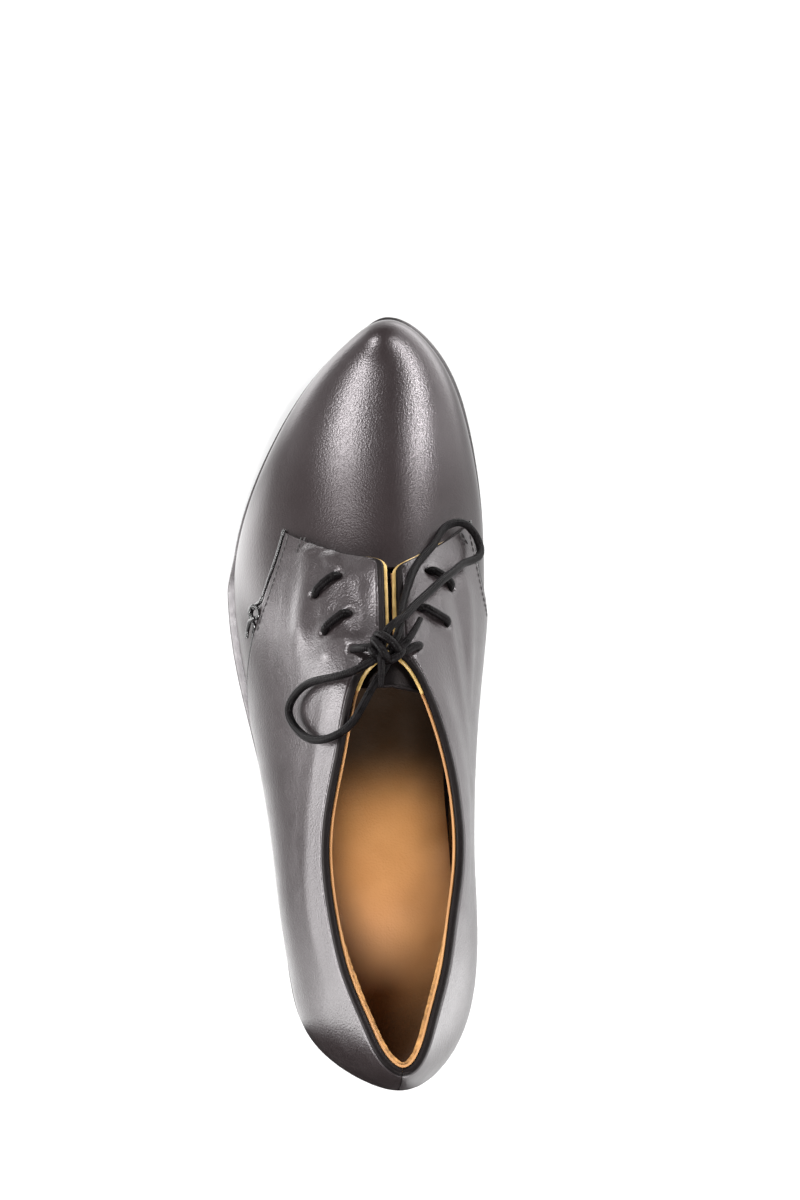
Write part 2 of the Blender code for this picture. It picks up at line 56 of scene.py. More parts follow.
# Sole and heel
SOLE_TIP_Y = 131.3 * MM
SOLE_THICK = 4.0 * MM
SOLE_MARGIN = 2.4 * MM
TOE_SPRING = 7.0 * MM
TOE_SPRING_POWER = 1.8
TREAD_FRONT_Y = 66.0 * MM
TREAD_BACK_Y = 22.0 * MM
SEAT_FRONT_Y = -74.0 * MM
HEEL_HEIGHT = 25.0 * MM
HEEL_BREAST_Y = -76.5 * MM
HEEL_BREAST_HOLLOW = 3.0 * MM
TOP_LIFT_THICK = 5.0 * MM
HEEL_TAPER = 1.2 * MM
GAP = 0.3 * MM
INSOLE_THICK = 2.5 * MM
INSOLE_MARGIN = -2.0 * MM

# Sections of the last, in millimetres, as in the part
Section = namedtuple("Section", "name lateral_x lateral_y medial_x medial_y ridge_x ridge_y ridge_z "
                     "lateral_wall lateral_out lateral_crown medial_wall medial_out medial_crown")
SECTIONS = [
    Section("heel_back", 10.2, -127.5, 10.2, -127.5, 9.5, -101, 104, .40, 4.0, .40, .40, 4.0, .40),
    Section("heel_turn", -12.5, -115.5, 26.5, -116.5, 9.5, -94, 103, .36, 7.5, .06, .36, 10.0, .06),
    Section("heel_side", -21.0, -96.0, 33.5, -97.0, 9.0, -82, 100, .33, 6.5, .18, .36, 10.0, .10),
    Section("heel_front", -24.0, -72.0, 33.5, -74.0, 8.5, -66, 97, .32, 11.0, .14, .36, 11.5, .26),
    Section("waist_back", -27.0, -47.0, 31.5, -50.0, 8.5, -48, 92.5, .30, 10.0, .30, .38, 11.5, .68),
    Section("waist", -32.5, -18.0, 33.0, -22.0, 8.0, -25, 87, .30, 7.0, .26, .42, 12.0, .60),
    Section("instep", -38.5, 8.0, 37.5, 5.0, 7.5, 2, 77.5, .34, 1.5, .40, .48, 10.0, .40),
    Section("throat", -41.7, 31.0, 40.5, 28.0, 7.7, 27, 62, .36, 3.0, .50, .50, 8.5, .50),
    Section("ball", -40.8, 52.0, 41.5, 50.0, 8.0, 47, 47.5, .42, 2.0, .46, .52, 7.5, .48),
    Section("vamp", -33.2, 77.0, 40.0, 74.0, 8.7, 70, 36.5, .48, 2.0, .52, .50, 6.0, .54),
    Section("toe", -19.5, 103.0, 34.5, 101.0, 9.6, 94, 29.0, .50, 3.0, .54, .52, 4.0, .54),
    Section("toe_turn", -4.5, 120.5, 25.0, 119.6, 10.2, 109, 25.0, .55, 3.0, .56, .55, 3.0, .56),
    Section("tip", 10.6, 128.9, 10.6, 128.9, 10.4, 114, 23.6, .62, 3.0, .58, .62, 3.0, .58),
]
TURN = 2 * (len(SECTIONS) - 1)
TIP_U = TURN / 2

# Height of the topline along the shoe, in millimetres
ToplinePoint = namedtuple("ToplinePoint", "y z")
TOPLINE = [
    ToplinePoint(-140, 92.0),
    ToplinePoint(-121, 88.0),
    ToplinePoint(-100, 82.0),
    ToplinePoint(-75, 75.5),
    ToplinePoint(-50, 72.5),
    ToplinePoint(-25, 72.5),
    ToplinePoint(0, 73.6),
    ToplinePoint(14, 73.0),
]

# Places on the chart
CHART_STEP = 1e-3
COLLAR_FRONT_RANGE = (5.5, 7.5)
HEEL_BREAST_RANGE = (1.0, 5.0)
TOPLINE_RANGE = (0.2, 1.0)
THROAT_U = 7.65
NOTCH_U = 5.85
LINING_SLIT = 0.8 * MM
FACING_SLIT = 3.4 * MM
BACK_SEAM_U = 0.006

# Edge of each quarter on the vamp: from the sole, along the side, up to its front corner
EdgePoint = namedtuple("EdgePoint", "u v")
LATERAL_EDGE = [
    EdgePoint(5.0, 0.0),
    EdgePoint(5.4, 0.083),
    EdgePoint(5.8, 0.142),
    EdgePoint(6.35, 0.265),
    EdgePoint(7.05, 0.408),
    EdgePoint(8.2, 0.50),
]
MEDIAL_EDGE = [
    EdgePoint(6.1, 0.0),
    EdgePoint(6.93, 0.193),
    EdgePoint(7.37, 0.33),
    EdgePoint(8.05, 0.41),
    EdgePoint(8.42, 0.447),
]
Side = namedtuple("Side", "word sign edge")
LATERAL = Side("lateral", -1, LATERAL_EDGE)
MEDIAL = Side("medial", 1, MEDIAL_EDGE)
SIDES = (LATERAL, MEDIAL)

# Layers of the upper as heights over the last
QUARTER_OUT = 1.6 * MM
QUARTER_IN = 0.35 * MM
ROLL_IN = -0.9 * MM
VAMP_IN = -0.85 * MM
LINING_OUT = -0.95 * MM
LINING_IN = -1.7 * MM
GRIP_IN = -2.7 * MM
TONGUE_OUT = -2.7 * MM
TONGUE_MIDDLE = -3.6 * MM
TONGUE_IN = -4.2 * MM
ROLL_REACH = 1.0 * MM
EDGE_REACH = 0.5 * MM


def smoothstep(t):
    t = np.clip(t, 0.0, 1.0)
    return t * t * (3.0 - 2.0 * t)


def soft_min(a, b, width):
    """Lower of two values, with the corner between them rounded."""
    return -width * np.logaddexp(-a / width, -b / width)


def closed_spline(rows):
    """Periodic cubic through evenly spaced rows, as a function of the row number."""
    rows = np.asarray(rows, float)
    count = len(rows)
    ring = np.eye(count)
    system = 4.0 * ring + np.roll(ring, 1, 1) + np.roll(ring, -1, 1)
    rates = np.linalg.solve(system, 3.0 * (np.roll(rows, -1, 0) - np.roll(rows, 1, 0)))

    def at(u):
        u = np.asarray(u, float) % count
        first = np.floor(u).astype(int) % count
        t = (u - np.floor(u))[..., None]
        second = (first + 1) % count
        start = rows[first] * (1 + 2 * t) * (1 - t) ** 2 + rates[first] * t * (1 - t) ** 2
        end = rows[second] * t * t * (3 - 2 * t) - rates[second] * t * t * (1 - t)
        return start + end
    return at


def open_spline(places, rows):
    """Natural cubic through rows at increasing places."""
    places = np.asarray(places, float)
    rows = np.asarray(rows, float)
    step = np.diff(places)
    count = len(places)
    system = np.eye(count)
    pull = np.zeros((count,) + rows.shape[1:])
    for k in range(1, count - 1):
        system[k, k - 1:k + 2] = step[k - 1], 2 * (step[k - 1] + step[k]), step[k]
        pull[k] = 6 * ((rows[k + 1] - rows[k]) / step[k] - (rows[k] - rows[k - 1]) / step[k - 1])
    bend = np.linalg.solve(system, pull)

    def at(x):
        x = np.asarray(x, float)
        k = np.clip(np.searchsorted(places, x) - 1, 0, count - 2)
        extra = (1,) * (rows.ndim - 1)
        h = step[k].reshape(x.shape + extra)
        a = (places[k + 1] - x).reshape(x.shape + extra) / h
        b = 1 - a
        curl = ((a ** 3 - a) * bend[k] + (b ** 3 - b) * bend[k + 1]) * h * h / 6
        return a * rows[k] + b * rows[k + 1] + curl
    return at


def ridge_falls():
    """Downward slope of the ridge towards the toe at each section."""
    y = np.array([s.ridge_y for s in SECTIONS], float)
    z = np.array([s.ridge_z for s in SECTIONS], float)
    return -np.gradient(z, y)


def chart_rows():
    """Sections in order round the foot: foot x and y, ridge x, y, z and fall, wall, swell, crown."""
    lateral = []
    medial = []
    for s, fall in zip(SECTIONS, ridge_falls()):
        ridge = [s.ridge_x * MM, s.ridge_y * MM, s.ridge_z * MM, fall]
        lateral.append([s.lateral_x * MM, s.lateral_y * MM] + ridge
                       + [s.lateral_wall, s.lateral_out * MM, s.lateral_crown])
        medial.append([s.medial_x * MM, s.medial_y * MM] + ridge
                      + [s.medial_wall, s.medial_out * MM, s.medial_crown])
    return lateral + medial[-2:0:-1]


# Columns of the chart
FOOT = slice(0, 2)
RIDGE = slice(2, 5)
RIDGE_PLAN = slice(2, 4)
FALL, WALL, SWELL, CROWN = range(5, 9)

chart = closed_spline(chart_rows())
topline_height = open_spline([p.y * MM for p in TOPLINE], [p.z * MM for p in TOPLINE])


def sole_under(y):
    """Height of the outsole's underside: level tread, toe spring, and the shank's rise to the seat."""
    y = np.asarray(y, float)
    ahead = np.clip((y - TREAD_FRONT_Y) / (SOLE_TIP_Y - TREAD_FRONT_Y), 0.0, None)
    behind = (TREAD_BACK_Y - y) / (TREAD_BACK_Y - SEAT_FRONT_Y)
    return TOE_SPRING * ahead ** TOE_SPRING_POWER + HEEL_HEIGHT * smoothstep(behind)


def unit(vectors):
    return vectors / np.linalg.norm(vectors, axis=-1, keepdims=True)


def outward(u):
    """Plan direction square to the feather edge."""
    along = (chart(u + CHART_STEP) - chart(u - CHART_STEP))[..., FOOT]
    return unit(np.stack([-along[..., 1], along[..., 0]], axis=-1))


def fold(u):
    """Chart place of the same section on the outer side."""
    u = np.asarray(u, float) % TURN
    return np.minimum(u, TURN - u)


HEEL_EASE = 6.0 * MM
HEEL_EASE_U = 2.3
HEEL_EASE_V = 0.62


def heel_ease(u, v):
    """How far the worn counter leans back: most at the topline, fading along the quarters."""
    near = smoothstep(1 - fold(u) / HEEL_EASE_U)
    return HEEL_EASE * near * smoothstep(v / HEEL_EASE_V)


def last_point(u, v):
    """Point of the last's surface, a cubic arch in v from the feather edge to the ridge."""
    u, v = np.broadcast_arrays(np.asarray(u, float), np.asarray(v, float))
    row = chart(u)
    feather = sole_under(row[..., 1]) + SOLE_THICK + GAP
    foot = np.concatenate([row[..., FOOT], feather[..., None]], -1)
    ridge = row[..., RIDGE]
    fall, wall, swell, crown = (row[..., k, None] for k in (FALL, WALL, SWELL, CROWN))
    rise = ridge[..., 2:] - foot[..., 2:]
    wall_end = foot + np.concatenate([outward(u) * swell, rise * wall], -1)
    across = (foot - ridge)[..., :2]
    crown_end = ridge + crown * np.concatenate([across, -fall * across[..., 1:]], -1)
    t = v[..., None]
    low = foot * (1 - t) ** 3 + 3 * wall_end * t * (1 - t) ** 2
    point = low + 3 * crown_end * t * t * (1 - t) + ridge * t ** 3
    point[..., 1] -= heel_ease(u, v)
    return point


def last_normal(u, v):
    """Outward normal, level at the feather edge and square to the ridge line on top."""
    u, v = np.broadcast_arrays(np.asarray(u, float), np.asarray(v, float))
    inside = np.clip(v, CHART_STEP, 1 - CHART_STEP)
    along = last_point(u + CHART_STEP, inside) - last_point(u - CHART_STEP, inside)
    up = last_point(u, inside + CHART_STEP) - last_point(u, inside - CHART_STEP)
    normal = unit(np.cross(up, along))
    fall = chart(u)[..., FALL]
    top = unit(np.stack([np.zeros_like(fall), fall, np.ones_like(fall)], -1))
    return np.where((v >= 1)[..., None], top, normal)


def grown(u, v, offset):
    """Point at a height over the last."""
    offset = np.asarray(offset, float)
    return last_point(u, v) + offset[..., None] * last_normal(u, v)


HALVINGS = 40


def solve(function, low, high):
    """Places between low and high where a rising function crosses zero, for a whole array at once."""
    low = np.array(low, float)
    high = np.array(high, float)
    for _ in range(HALVINGS):
        middle = (low + high) / 2
        below = function(middle) < 0
        low = np.where(below, middle, low)
        high = np.where(below, high, middle)
    return (low + high) / 2


def above_topline(u, v):
    point = last_point(u, v)
    return point[..., 2] - topline_height(point[..., 1])


COLLAR_FRONT_U = float(solve(lambda u: -above_topline(u, 1.0), *COLLAR_FRONT_RANGE))
CORNER_SOFTNESS = 0.012
SLIT_BACK_U = COLLAR_FRONT_U - 1


def slit_v(u, width):
    """Edge of the lacing slit, half its width from the ridge."""
    row = chart(u)
    reach = np.linalg.norm(row[..., FOOT] - row[..., RIDGE_PLAN], axis=-1) * row[..., CROWN]
    return 1.0 - width / 2 / (3 * reach)


def collar_v(u, slit, drop):
    """Upper edge of a wall behind the throat: the topline less a drop, then the edge of the slit."""
    u = np.asarray(u, float)
    low, high = (np.full(u.shape, limit) for limit in TOPLINE_RANGE)
    top = solve(lambda v: above_topline(u, v) + drop, low, high)
    return np.where(fold(u) > SLIT_BACK_U, soft_min(top, slit_v(u, slit), CORNER_SOFTNESS), top)


# Meshes

WELD_STEP = 0.001 * MM
SHARP_ANGLE = np.radians(50)
NEARLY_UPRIGHT = 0.1
CAP_REACH = 0.35
ROUTE_SAMPLES = 40
FEWEST_STEPS = 4


def grid_faces(rows, columns, wrap=False):
    """Quads of a grid whose points run along the columns first."""
    across = np.arange(columns if wrap else columns - 1)
    a = np.arange(rows - 1)[:, None] * columns + across
    b = np.arange(rows - 1)[:, None] * columns + (across + 1) % columns
    quads = np.stack([a, b, b + columns, a + columns], -1)
    return quads.reshape(-1, 4)


def weld(points, faces):
    """Joins points that lie together, and drops the sides of faces that this closes up."""
    keys = np.round(points / WELD_STEP).astype(np.int64)
    _, first, inverse = np.unique(keys, axis=0, return_index=True, return_inverse=True)
    inverse = inverse.ravel()
    joined = []
    for face in inverse[np.asarray(faces)].tolist():
        face = list(dict.fromkeys(face))
        if len(face) > 2:
            joined.append(face)
    return first, joined


def add_object(name, data):
    """New object in the scene."""
    new = bpy.data.objects.new(name, data)
    bpy.context.scene.collection.objects.link(new)
    return new


def add_piece(name, points, faces, materials, replaces=(), uv=None, face_materials=None):
    """Smooth-shaded mesh that rides on the shoe's one body."""
    mesh = bpy.data.meshes.new(name)
    mesh.from_pydata(np.asarray(points, float).tolist(), [], [list(map(int, f)) for f in faces])
    for look in materials:
        mesh.materials.append(MATERIALS[look])
    if face_materials is not None:
        mesh.polygons.foreach_set("material_index", np.asarray(face_materials, np.int32))
    if uv is not None:
        corners = np.empty(len(mesh.loops), np.int32)
        mesh.loops.foreach_get("vertex_index", corners)
        layer = mesh.uv_layers.new(name="UVMap")
        layer.data.foreach_set("uv", np.asarray(uv, np.float32)[corners].ravel())
    mesh.shade_smooth()
    mesh.set_sharp_from_angle(angle=SHARP_ANGLE)
    piece = add_object(name, mesh)
    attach(piece, BODY)
    if replaces:
        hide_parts(*replaces)
    return piece


def end_faces(rings, count):
    """Faces that close the first and the last ring of a lofted piece."""
    last = (rings - 1) * count
    return [list(range(count)), [last + k for k in reversed(range(count))]]


def shell_faces(faces, count):
    """Faces of a closed wall over an open patch: its outside, its inside and its rim."""
    sides = dict.fromkeys(side for face in faces for side in zip(face, face[1:] + face[:1]))
    inside = [[k + count for k in reversed(face)] for face in faces]
    rim = [[b, a, a + count, b + count] for a, b in sides if (b, a) not in sides]
    return list(faces), inside, rim


def add_wall(name, outer, inner, faces, materials, replaces=()):
    """Wall between two copies of one welded patch; a second material goes on its inside."""
    kept, joined = weld(outer, faces)
    outside, inside, rim = shell_faces(joined, len(kept))
    points = np.concatenate([outer[kept], inner[kept]])
    marks = [0] * len(outside) + [len(materials) - 1] * len(inside) + [0] * len(rim)
    return add_piece(name, points, outside + inside + rim, materials, replaces,
                     face_materials=marks)


Patch = namedtuple("Patch", "u v outer inner flipped")


def add_patches(name, patches, materials, replaces=()):
    """Wall over patches of the chart, each between two heights over the last."""
    faces = []
    start = 0
    for patch in patches:
        quads = grid_faces(*patch.u.shape)
        faces.append((quads[:, ::-1] if patch.flipped else quads) + start)
        start += patch.u.size
    outer = np.concatenate([grown(p.u, p.v, p.outer).reshape(-1, 3) for p in patches])
    inner = np.concatenate([grown(p.u, p.v, p.inner).reshape(-1, 3) for p in patches])
    return add_wall(name, outer, inner, np.concatenate(faces), materials, replaces)


def running_length(points):
    """Length along a line at each of its points."""
    return np.concatenate([[0], np.cumsum(np.linalg.norm(np.diff(points, axis=0), axis=1))])


def frames_along(points):
    """Directions along a line and two square to it that turn as little as they can."""
    along = unit(np.gradient(points, axis=0))
    start = np.cross(along[0], (0.0, 0.0, 1.0))
    if np.linalg.norm(start) < NEARLY_UPRIGHT:
        start = np.cross(along[0], (1.0, 0.0, 0.0))
    across = [unit(start)]
    for direction in along[1:]:
        turned = across[-1] - direction * (across[-1] @ direction)
        across.append(unit(turned))
    across = np.array(across)
    return along, across, np.cross(along, across)


def cord_mesh(points, radius, sides, cap_rings=3):
    """Points, faces and cord lengths of a round cord with softly rounded ends."""
    points = np.asarray(points, float)
    radius = np.broadcast_to(np.asarray(radius, float), len(points)).copy()
    along, across, up = frames_along(points)
    angle = np.linspace(0, np.pi / 2, cap_rings, endpoint=False)
    beyond = CAP_REACH * np.cos(angle)
    narrowed = np.sin(angle + np.pi / 4 / cap_rings)
    count = len(points)
    place = np.concatenate([[0] * cap_rings, np.arange(count), [count - 1] * cap_rings])
    reach = radius[place] * np.concatenate([-beyond, np.zeros(count), beyond[::-1]])
    width = radius[place] * np.concatenate([narrowed, np.ones(count), narrowed[::-1]])
    centre = points[place] + along[place] * reach[:, None]
    turn = np.linspace(0, 2 * np.pi, sides, endpoint=False)
    ring = np.cos(turn)[:, None] * across[place, None] + np.sin(turn)[:, None] * up[place, None]
    verts = (centre[:, None] + width[:, None, None] * ring).reshape(-1, 3)
    faces = grid_faces(len(centre), sides, wrap=True).tolist()
    faces += [face[::-1] for face in end_faces(len(centre), sides)]
    run = running_length(centre)
    uv = np.stack([np.tile(turn / (2 * np.pi), len(centre)), np.repeat(run, sides)], -1)
    return verts, faces, uv


def add_cords(name, cords, material, replaces=()):
    """One piece of one or more cord meshes, which keep their cord lengths."""
    points, faces, uv = [], [], []
    start = 0
    for verts, sides, places in cords:
        points.append(verts)
        faces += [[k + start for k in face] for face in sides]
        uv.append(places)
        start += len(verts)
    return add_piece(name, np.concatenate(points), faces, [material], replaces, np.concatenate(uv))


def along_line(places, run, rows):
    """Rows of a line at given lengths along it."""
    return np.stack([np.interp(places, run, rows[:, k]) for k in range(3)], -1)


def smooth_route(points, step):
    """Evenly spread points of a smooth curve through a given route in millimetres."""
    points = np.array(points, float) * MM
    run = running_length(points)
    curve = open_spline(run, points)
    fine = curve(np.linspace(0, run[-1], ROUTE_SAMPLES * len(points)))
    length = running_length(fine)
    places = np.linspace(0, length[-1], max(FEWEST_STEPS, round(length[-1] / step)) + 1)
    return along_line(places, length, fine)


# Materials

NOISE_RANGE = (0.3, 0.7)


def feed(tree, socket, value):
    """Gives an input a plain value or another node's output."""
    if isinstance(value, bpy.types.NodeSocket):
        tree.links.new(value, socket)
    else:
        socket.default_value = value


def add_node(tree, kind, *values, **settings):
    """New shader node: settings name properties or inputs, and values feed its inputs in order."""
    new = tree.nodes.new(kind)
    for key, value in settings.items():
        name = key.replace("_", " ")
        if name in new.inputs:
            feed(tree, new.inputs[name], value)
        else:
            setattr(new, key, value)
    for socket, value in zip(new.inputs, values):
        feed(tree, socket, value)
    return new


def sums(tree, operation, *values):
    """Result of a sum or product of numbers, each a value or another node's output."""
    return add_node(tree, "ShaderNodeMath", *values, operation=operation).outputs[0]


def vector_sums(tree, operation, *values):
    """Outputs of a vector sum or product, each input a value or another node's output."""
    return add_node(tree, "ShaderNodeVectorMath", *values, operation=operation).outputs


def scaled(tree, vector, factor):
    """A colour or vector times a number."""
    new = add_node(tree, "ShaderNodeVectorMath", vector, operation="SCALE", Scale=factor)
    return new.outputs["Vector"]


def eased(tree, value, start, end, first, last):
    """Smooth change from a first number, up to start, to a last number, from end on."""
    new = add_node(tree, "ShaderNodeMapRange", Value=value, From_Min=start, From_Max=end, To_Min=first,
                   To_Max=last, interpolation_type="SMOOTHSTEP")
    return new.outputs["Result"]


def noise(tree, place, scale, detail, warp=0.0):
    """Cloudy value about one half."""
    new = add_node(tree, "ShaderNodeTexNoise", Vector=place, Scale=scale, Detail=detail, Distortion=warp)
    return new.outputs["Fac"]


def emboss(tree, shader, height, strength, depth):
    """Relief of a surface by a bump of its normals."""
    bump = add_node(tree, "ShaderNodeBump", Strength=strength, Distance=depth, Height=height)
    tree.links.new(bump.outputs["Normal"], shader.inputs["Normal"])


def object_place(tree):
    return tree.nodes.new("ShaderNodeTexCoord").outputs["Object"]


def axes_of(tree, vector):
    return add_node(tree, "ShaderNodeSeparateXYZ", Vector=vector).outputs


def ramp(tree, factor, stops):
    """Colour ramp over a factor, from a list of places and colours."""
    new = tree.nodes.new("ShaderNodeValToRGB")
    tree.links.new(factor, new.inputs["Fac"])
    elements = new.color_ramp.elements
    for k, (place, colour) in enumerate(stops):
        element = elements[k] if k < 2 else elements.new(place)
        element.position = place
        element.color = (*colour, 1.0)
    return new.outputs["Color"]


def spread(tree, value, low, high):
    """A noise value stretched from its usual range to one from low to high."""
    least, most = NOISE_RANGE
    new = add_node(tree, "ShaderNodeMapRange", Value=value, From_Min=least, From_Max=most,
                   To_Min=low, To_Max=high)
    return new.outputs["Result"]


def oval_distance(tree, place, middle, half):
    """Distance from a middle, measured in half sizes of an oval."""
    moved = vector_sums(tree, "SUBTRACT", place, middle)["Vector"]
    oval = vector_sums(tree, "DIVIDE", moved, half)["Vector"]
    return vector_sums(tree, "LENGTH", oval)["Value"]


def start_material(name, settings):
    """New material with constants on its shader; also its tree, shader and place on the object."""
    material = bpy.data.materials.new(name)
    material.use_nodes = True
    tree = material.node_tree
    shader = tree.nodes["Principled BSDF"]
    for key, value in settings.items():
        shader.inputs[key].default_value = value
    return material, tree, shader, object_place(tree)


# Leather: two colours in clouds, range of roughness, fineness and strength of the grain, stretch lines
Leather = namedtuple("Leather", "dark light cloud rough_low rough_high grain bump lines settings")
CLOUD_STOPS = (0.3, 0.72)
CLOUD_DETAIL = 4.0
PATCHES_PER_CLOUD = 4
PATCH_DETAIL = 3.0
FINE_GRAIN = 1.3
FINE_DETAIL = 2.0
PEBBLE_SHARE = 0.8
LINE_GRAIN = 0.22
LINE_DETAIL = 5.0
LINE_WARP = 1.2
LINE_STRETCH = (1.0, 0.4, 1.0)
GRAIN_DEPTH = 0.15 * MM


def leather_material(name, look):
    """Leather with cloudy colour, uneven gloss, a pebbled grain and fine stretch lines."""
    material, tree, shader, place = start_material(name, look.settings)
    clouds = noise(tree, place, look.cloud, CLOUD_DETAIL)
    colour = ramp(tree, clouds, zip(CLOUD_STOPS, (look.dark, look.light)))
    tree.links.new(colour, shader.inputs["Base Color"])
    patches = noise(tree, place, look.cloud * PATCHES_PER_CLOUD, PATCH_DETAIL)
    tree.links.new(spread(tree, patches, look.rough_low, look.rough_high), shader.inputs["Roughness"])
    pebbles = add_node(tree, "ShaderNodeTexVoronoi", Vector=place, Scale=look.grain).outputs["Distance"]
    fine = noise(tree, place, look.grain * FINE_GRAIN, FINE_DETAIL)
    drawn = add_node(tree, "ShaderNodeMapping", Vector=place, Scale=LINE_STRETCH).outputs["Vector"]
    lines = noise(tree, drawn, look.grain * LINE_GRAIN, LINE_DETAIL, LINE_WARP)
    grain = sums(tree, "MULTIPLY_ADD", pebbles, PEBBLE_SHARE, fine)
    emboss(tree, shader, sums(tree, "MULTIPLY_ADD", lines, look.lines, grain), look.bump, GRAIN_DEPTH)
    return material


CALF = {"Specular IOR Level": 0.5, "Specular Tint": (1.0, 0.94, 0.97, 1.0), "Coat Weight": 0.15,
        "Coat Roughness": 0.16}
VAMP = {"Specular IOR Level": 0.5}
EDGE = {"Specular IOR Level": 0.09, "Specular Tint": (1.0, 0.86, 0.84, 1.0)}
PLAIN = {"Specular IOR Level": 0.4}
SUEDE = {"Specular IOR Level": 0.2, "Sheen Weight": 0.2, "Sheen Roughness": 0.5}
LEATHERS = {
    "vamp_calf": Leather((0.0115, 0.0080, 0.0083), (0.0165, 0.0124, 0.0128), 22, .277, .295,
                         1500, .33, .25, VAMP),
    "quarter_calf": Leather((0.0120, 0.0085, 0.0088), (0.0180, 0.0138, 0.0143), 30, .285, .36,
                            1400, .5, 1.1, CALF),
    "black_edge": Leather((0.003, 0.0024, 0.0025), (0.006, 0.0050, 0.0052), 60, .40, .55,
                          1800, .3, .4, EDGE),
    "sock_tan": Leather((0.44, 0.195, 0.060), (0.62, 0.305, 0.110), 26, .46, .62, 1300, .5, 1.6, PLAIN),
    "lining_tan": Leather((0.25, 0.11, 0.034), (0.36, 0.18, 0.062), 40, .5, .68, 1500, .3, .8, PLAIN),
    "lining_gold": Leather((0.26, 0.16, 0.045), (0.50, 0.34, 0.12), 260, .3, .45, 1700, .35, .6, PLAIN),
    "heel_suede": Leather((0.10, 0.046, 0.013), (0.40, 0.20, 0.065), 420, .85, .98, 900, .9, 1.6, SUEDE),
    "sole_edge": Leather((0.006, 0.005, 0.005), (0.012, 0.010, 0.010), 80, .26, .4, 900, .25, .5, CALF),
    "sole_flesh": Leather((0.014, 0.012, 0.011), (0.030, 0.025, 0.023), 45, .5, .68, 700, .4, .9, PLAIN),
    "rubber": Leather((0.010, 0.010, 0.010), (0.018, 0.018, 0.018), 70, .62, .78, 1100, .35, .3, PLAIN),
}

# Painted light and shade of the sock: a paler lit oval in the middle, painted shade towards the sides, the
# front and the heel's end: the oval's middle and half sizes
SOCK_LIT_MIDDLE = (0.012, -0.061, 0.0)
SOCK_LIT_HALF = (0.027, 0.046, 1.0)
SOCK_SHADE_FADE = (0.35, 1.15)
SOCK_FRONT_SHADE = (-0.040, -0.016)
SOCK_SHADE = 0.2

# The toe is glossier up to the end of its stiffener; the vamp behind it is rougher, and its reflections are
# dimmed by a painted shade tint
POLISH_END = (0.066, 0.092)
DULL_VAMP = 0.03
POLISHED_TINT = (1.0, 0.94, 0.97)
SHADED_GLOSS_TINT = (0.40, 0.37, 0.38)


def dull_and_shade_vamp(material):
    """Rougher leather behind the toe's stiffener, with its reflections darkened by a painted shade tint."""
    tree = material.node_tree
    shader = tree.nodes["Principled BSDF"]
    gloss = shader.inputs["Roughness"].links[0].from_socket
    along = axes_of(tree, object_place(tree))["Y"]
    extra = eased(tree, along, *POLISH_END, DULL_VAMP, 0.0)
    tree.links.new(sums(tree, "ADD", gloss, extra), shader.inputs["Roughness"])
    # Painted shade: a dim specular tint darkens the vamp's reflections behind the toe
    unshaded = eased(tree, along, *POLISH_END, 0.0, 1.0)
    tint = ramp(tree, unshaded, [(0.0, SHADED_GLOSS_TINT), (1.0, POLISHED_TINT)])
    tree.links.new(tint, shader.inputs["Specular Tint"])


def shade_sock(material):
    """Painted shade on the sock: darker towards the sides, the front and the heel's end, paler in a painted
    lit oval.
    """
    tree = material.node_tree
    shader = tree.nodes["Principled BSDF"]
    colour = shader.inputs["Base Color"].links[0].from_socket
    place = object_place(tree)
    # Painted shade: the sock's colour is darkened away from the lit oval and towards the front
    away = oval_distance(tree, place, SOCK_LIT_MIDDLE, SOCK_LIT_HALF)
    sides = eased(tree, away, *SOCK_SHADE_FADE, 1.0, SOCK_SHADE)
    front = eased(tree, axes_of(tree, place)["Y"], *SOCK_FRONT_SHADE, 1.0, SOCK_SHADE)
    shaded = scaled(tree, colour, sums(tree, "MULTIPLY", sides, front))
    tree.links.new(shaded, shader.inputs["Base Color"])


# Cord: two colours in streaks of wear, range of roughness, windings per metre, relief and shine
Cord = namedtuple("Cord", "dark light rough_low rough_high twists bump shine")
CORDS = {
    "lace_cord": Cord((0.002, 0.0016, 0.0017), (0.006, 0.0050, 0.0053), .28, .44, 900, .5, 0.05),
    "seam_cord": Cord((0.003, 0.0025, 0.0026), (0.008, 0.0065, 0.007), .22, .34, 900, .2, 0.6),
    "thread": Cord((0.010, 0.009, 0.009), (0.030, 0.027, 0.027), .45, .6, 2600, .4, 0.4),
}
STRANDS = 2.0
STRAND_WARP = 1.5
STRAND_DETAIL = 2.0
STRAND_DEPTH = 0.12 * MM
WEAR_FINENESS = 420.0
WEAR_DETAIL = 3.0
WEAR_STOPS = (0.35, 0.75)
WEAR_SHARE = 0.8


def cord_material(name, look):
    """Waxed cord: strands that wind round it, with worn light streaks."""
    material, tree, shader, place = start_material(name, {"Specular IOR Level": look.shine})
    uv = tree.nodes.new("ShaderNodeUVMap").outputs["UV"]
    wound = add_node(tree, "ShaderNodeMapping", Vector=uv, Scale=(STRANDS, look.twists, 1.0))
    strands = add_node(tree, "ShaderNodeTexWave", Vector=wound.outputs["Vector"], Scale=1.0,
                       Distortion=STRAND_WARP, Detail=STRAND_DETAIL, bands_direction="DIAGONAL")
    wear = noise(tree, place, WEAR_FINENESS, WEAR_DETAIL)
    colour = ramp(tree, wear, zip(WEAR_STOPS, (look.dark, look.light)))
    tree.links.new(colour, shader.inputs["Base Color"])
    tree.links.new(spread(tree, wear, look.rough_low, look.rough_high), shader.inputs["Roughness"])
    relief = sums(tree, "MULTIPLY_ADD", wear, WEAR_SHARE, strands.outputs["Fac"])
    emboss(tree, shader, relief, look.bump, STRAND_DEPTH)
    return material


MATERIALS = {name: leather_material(name, look) for name, look in LEATHERS.items()}
shade_sock(MATERIALS["sock_tan"])
dull_and_shade_vamp(MATERIALS["vamp_calf"])
MATERIALS |= {name: cord_material(name, look) for name, look in CORDS.items()}

# Quarters

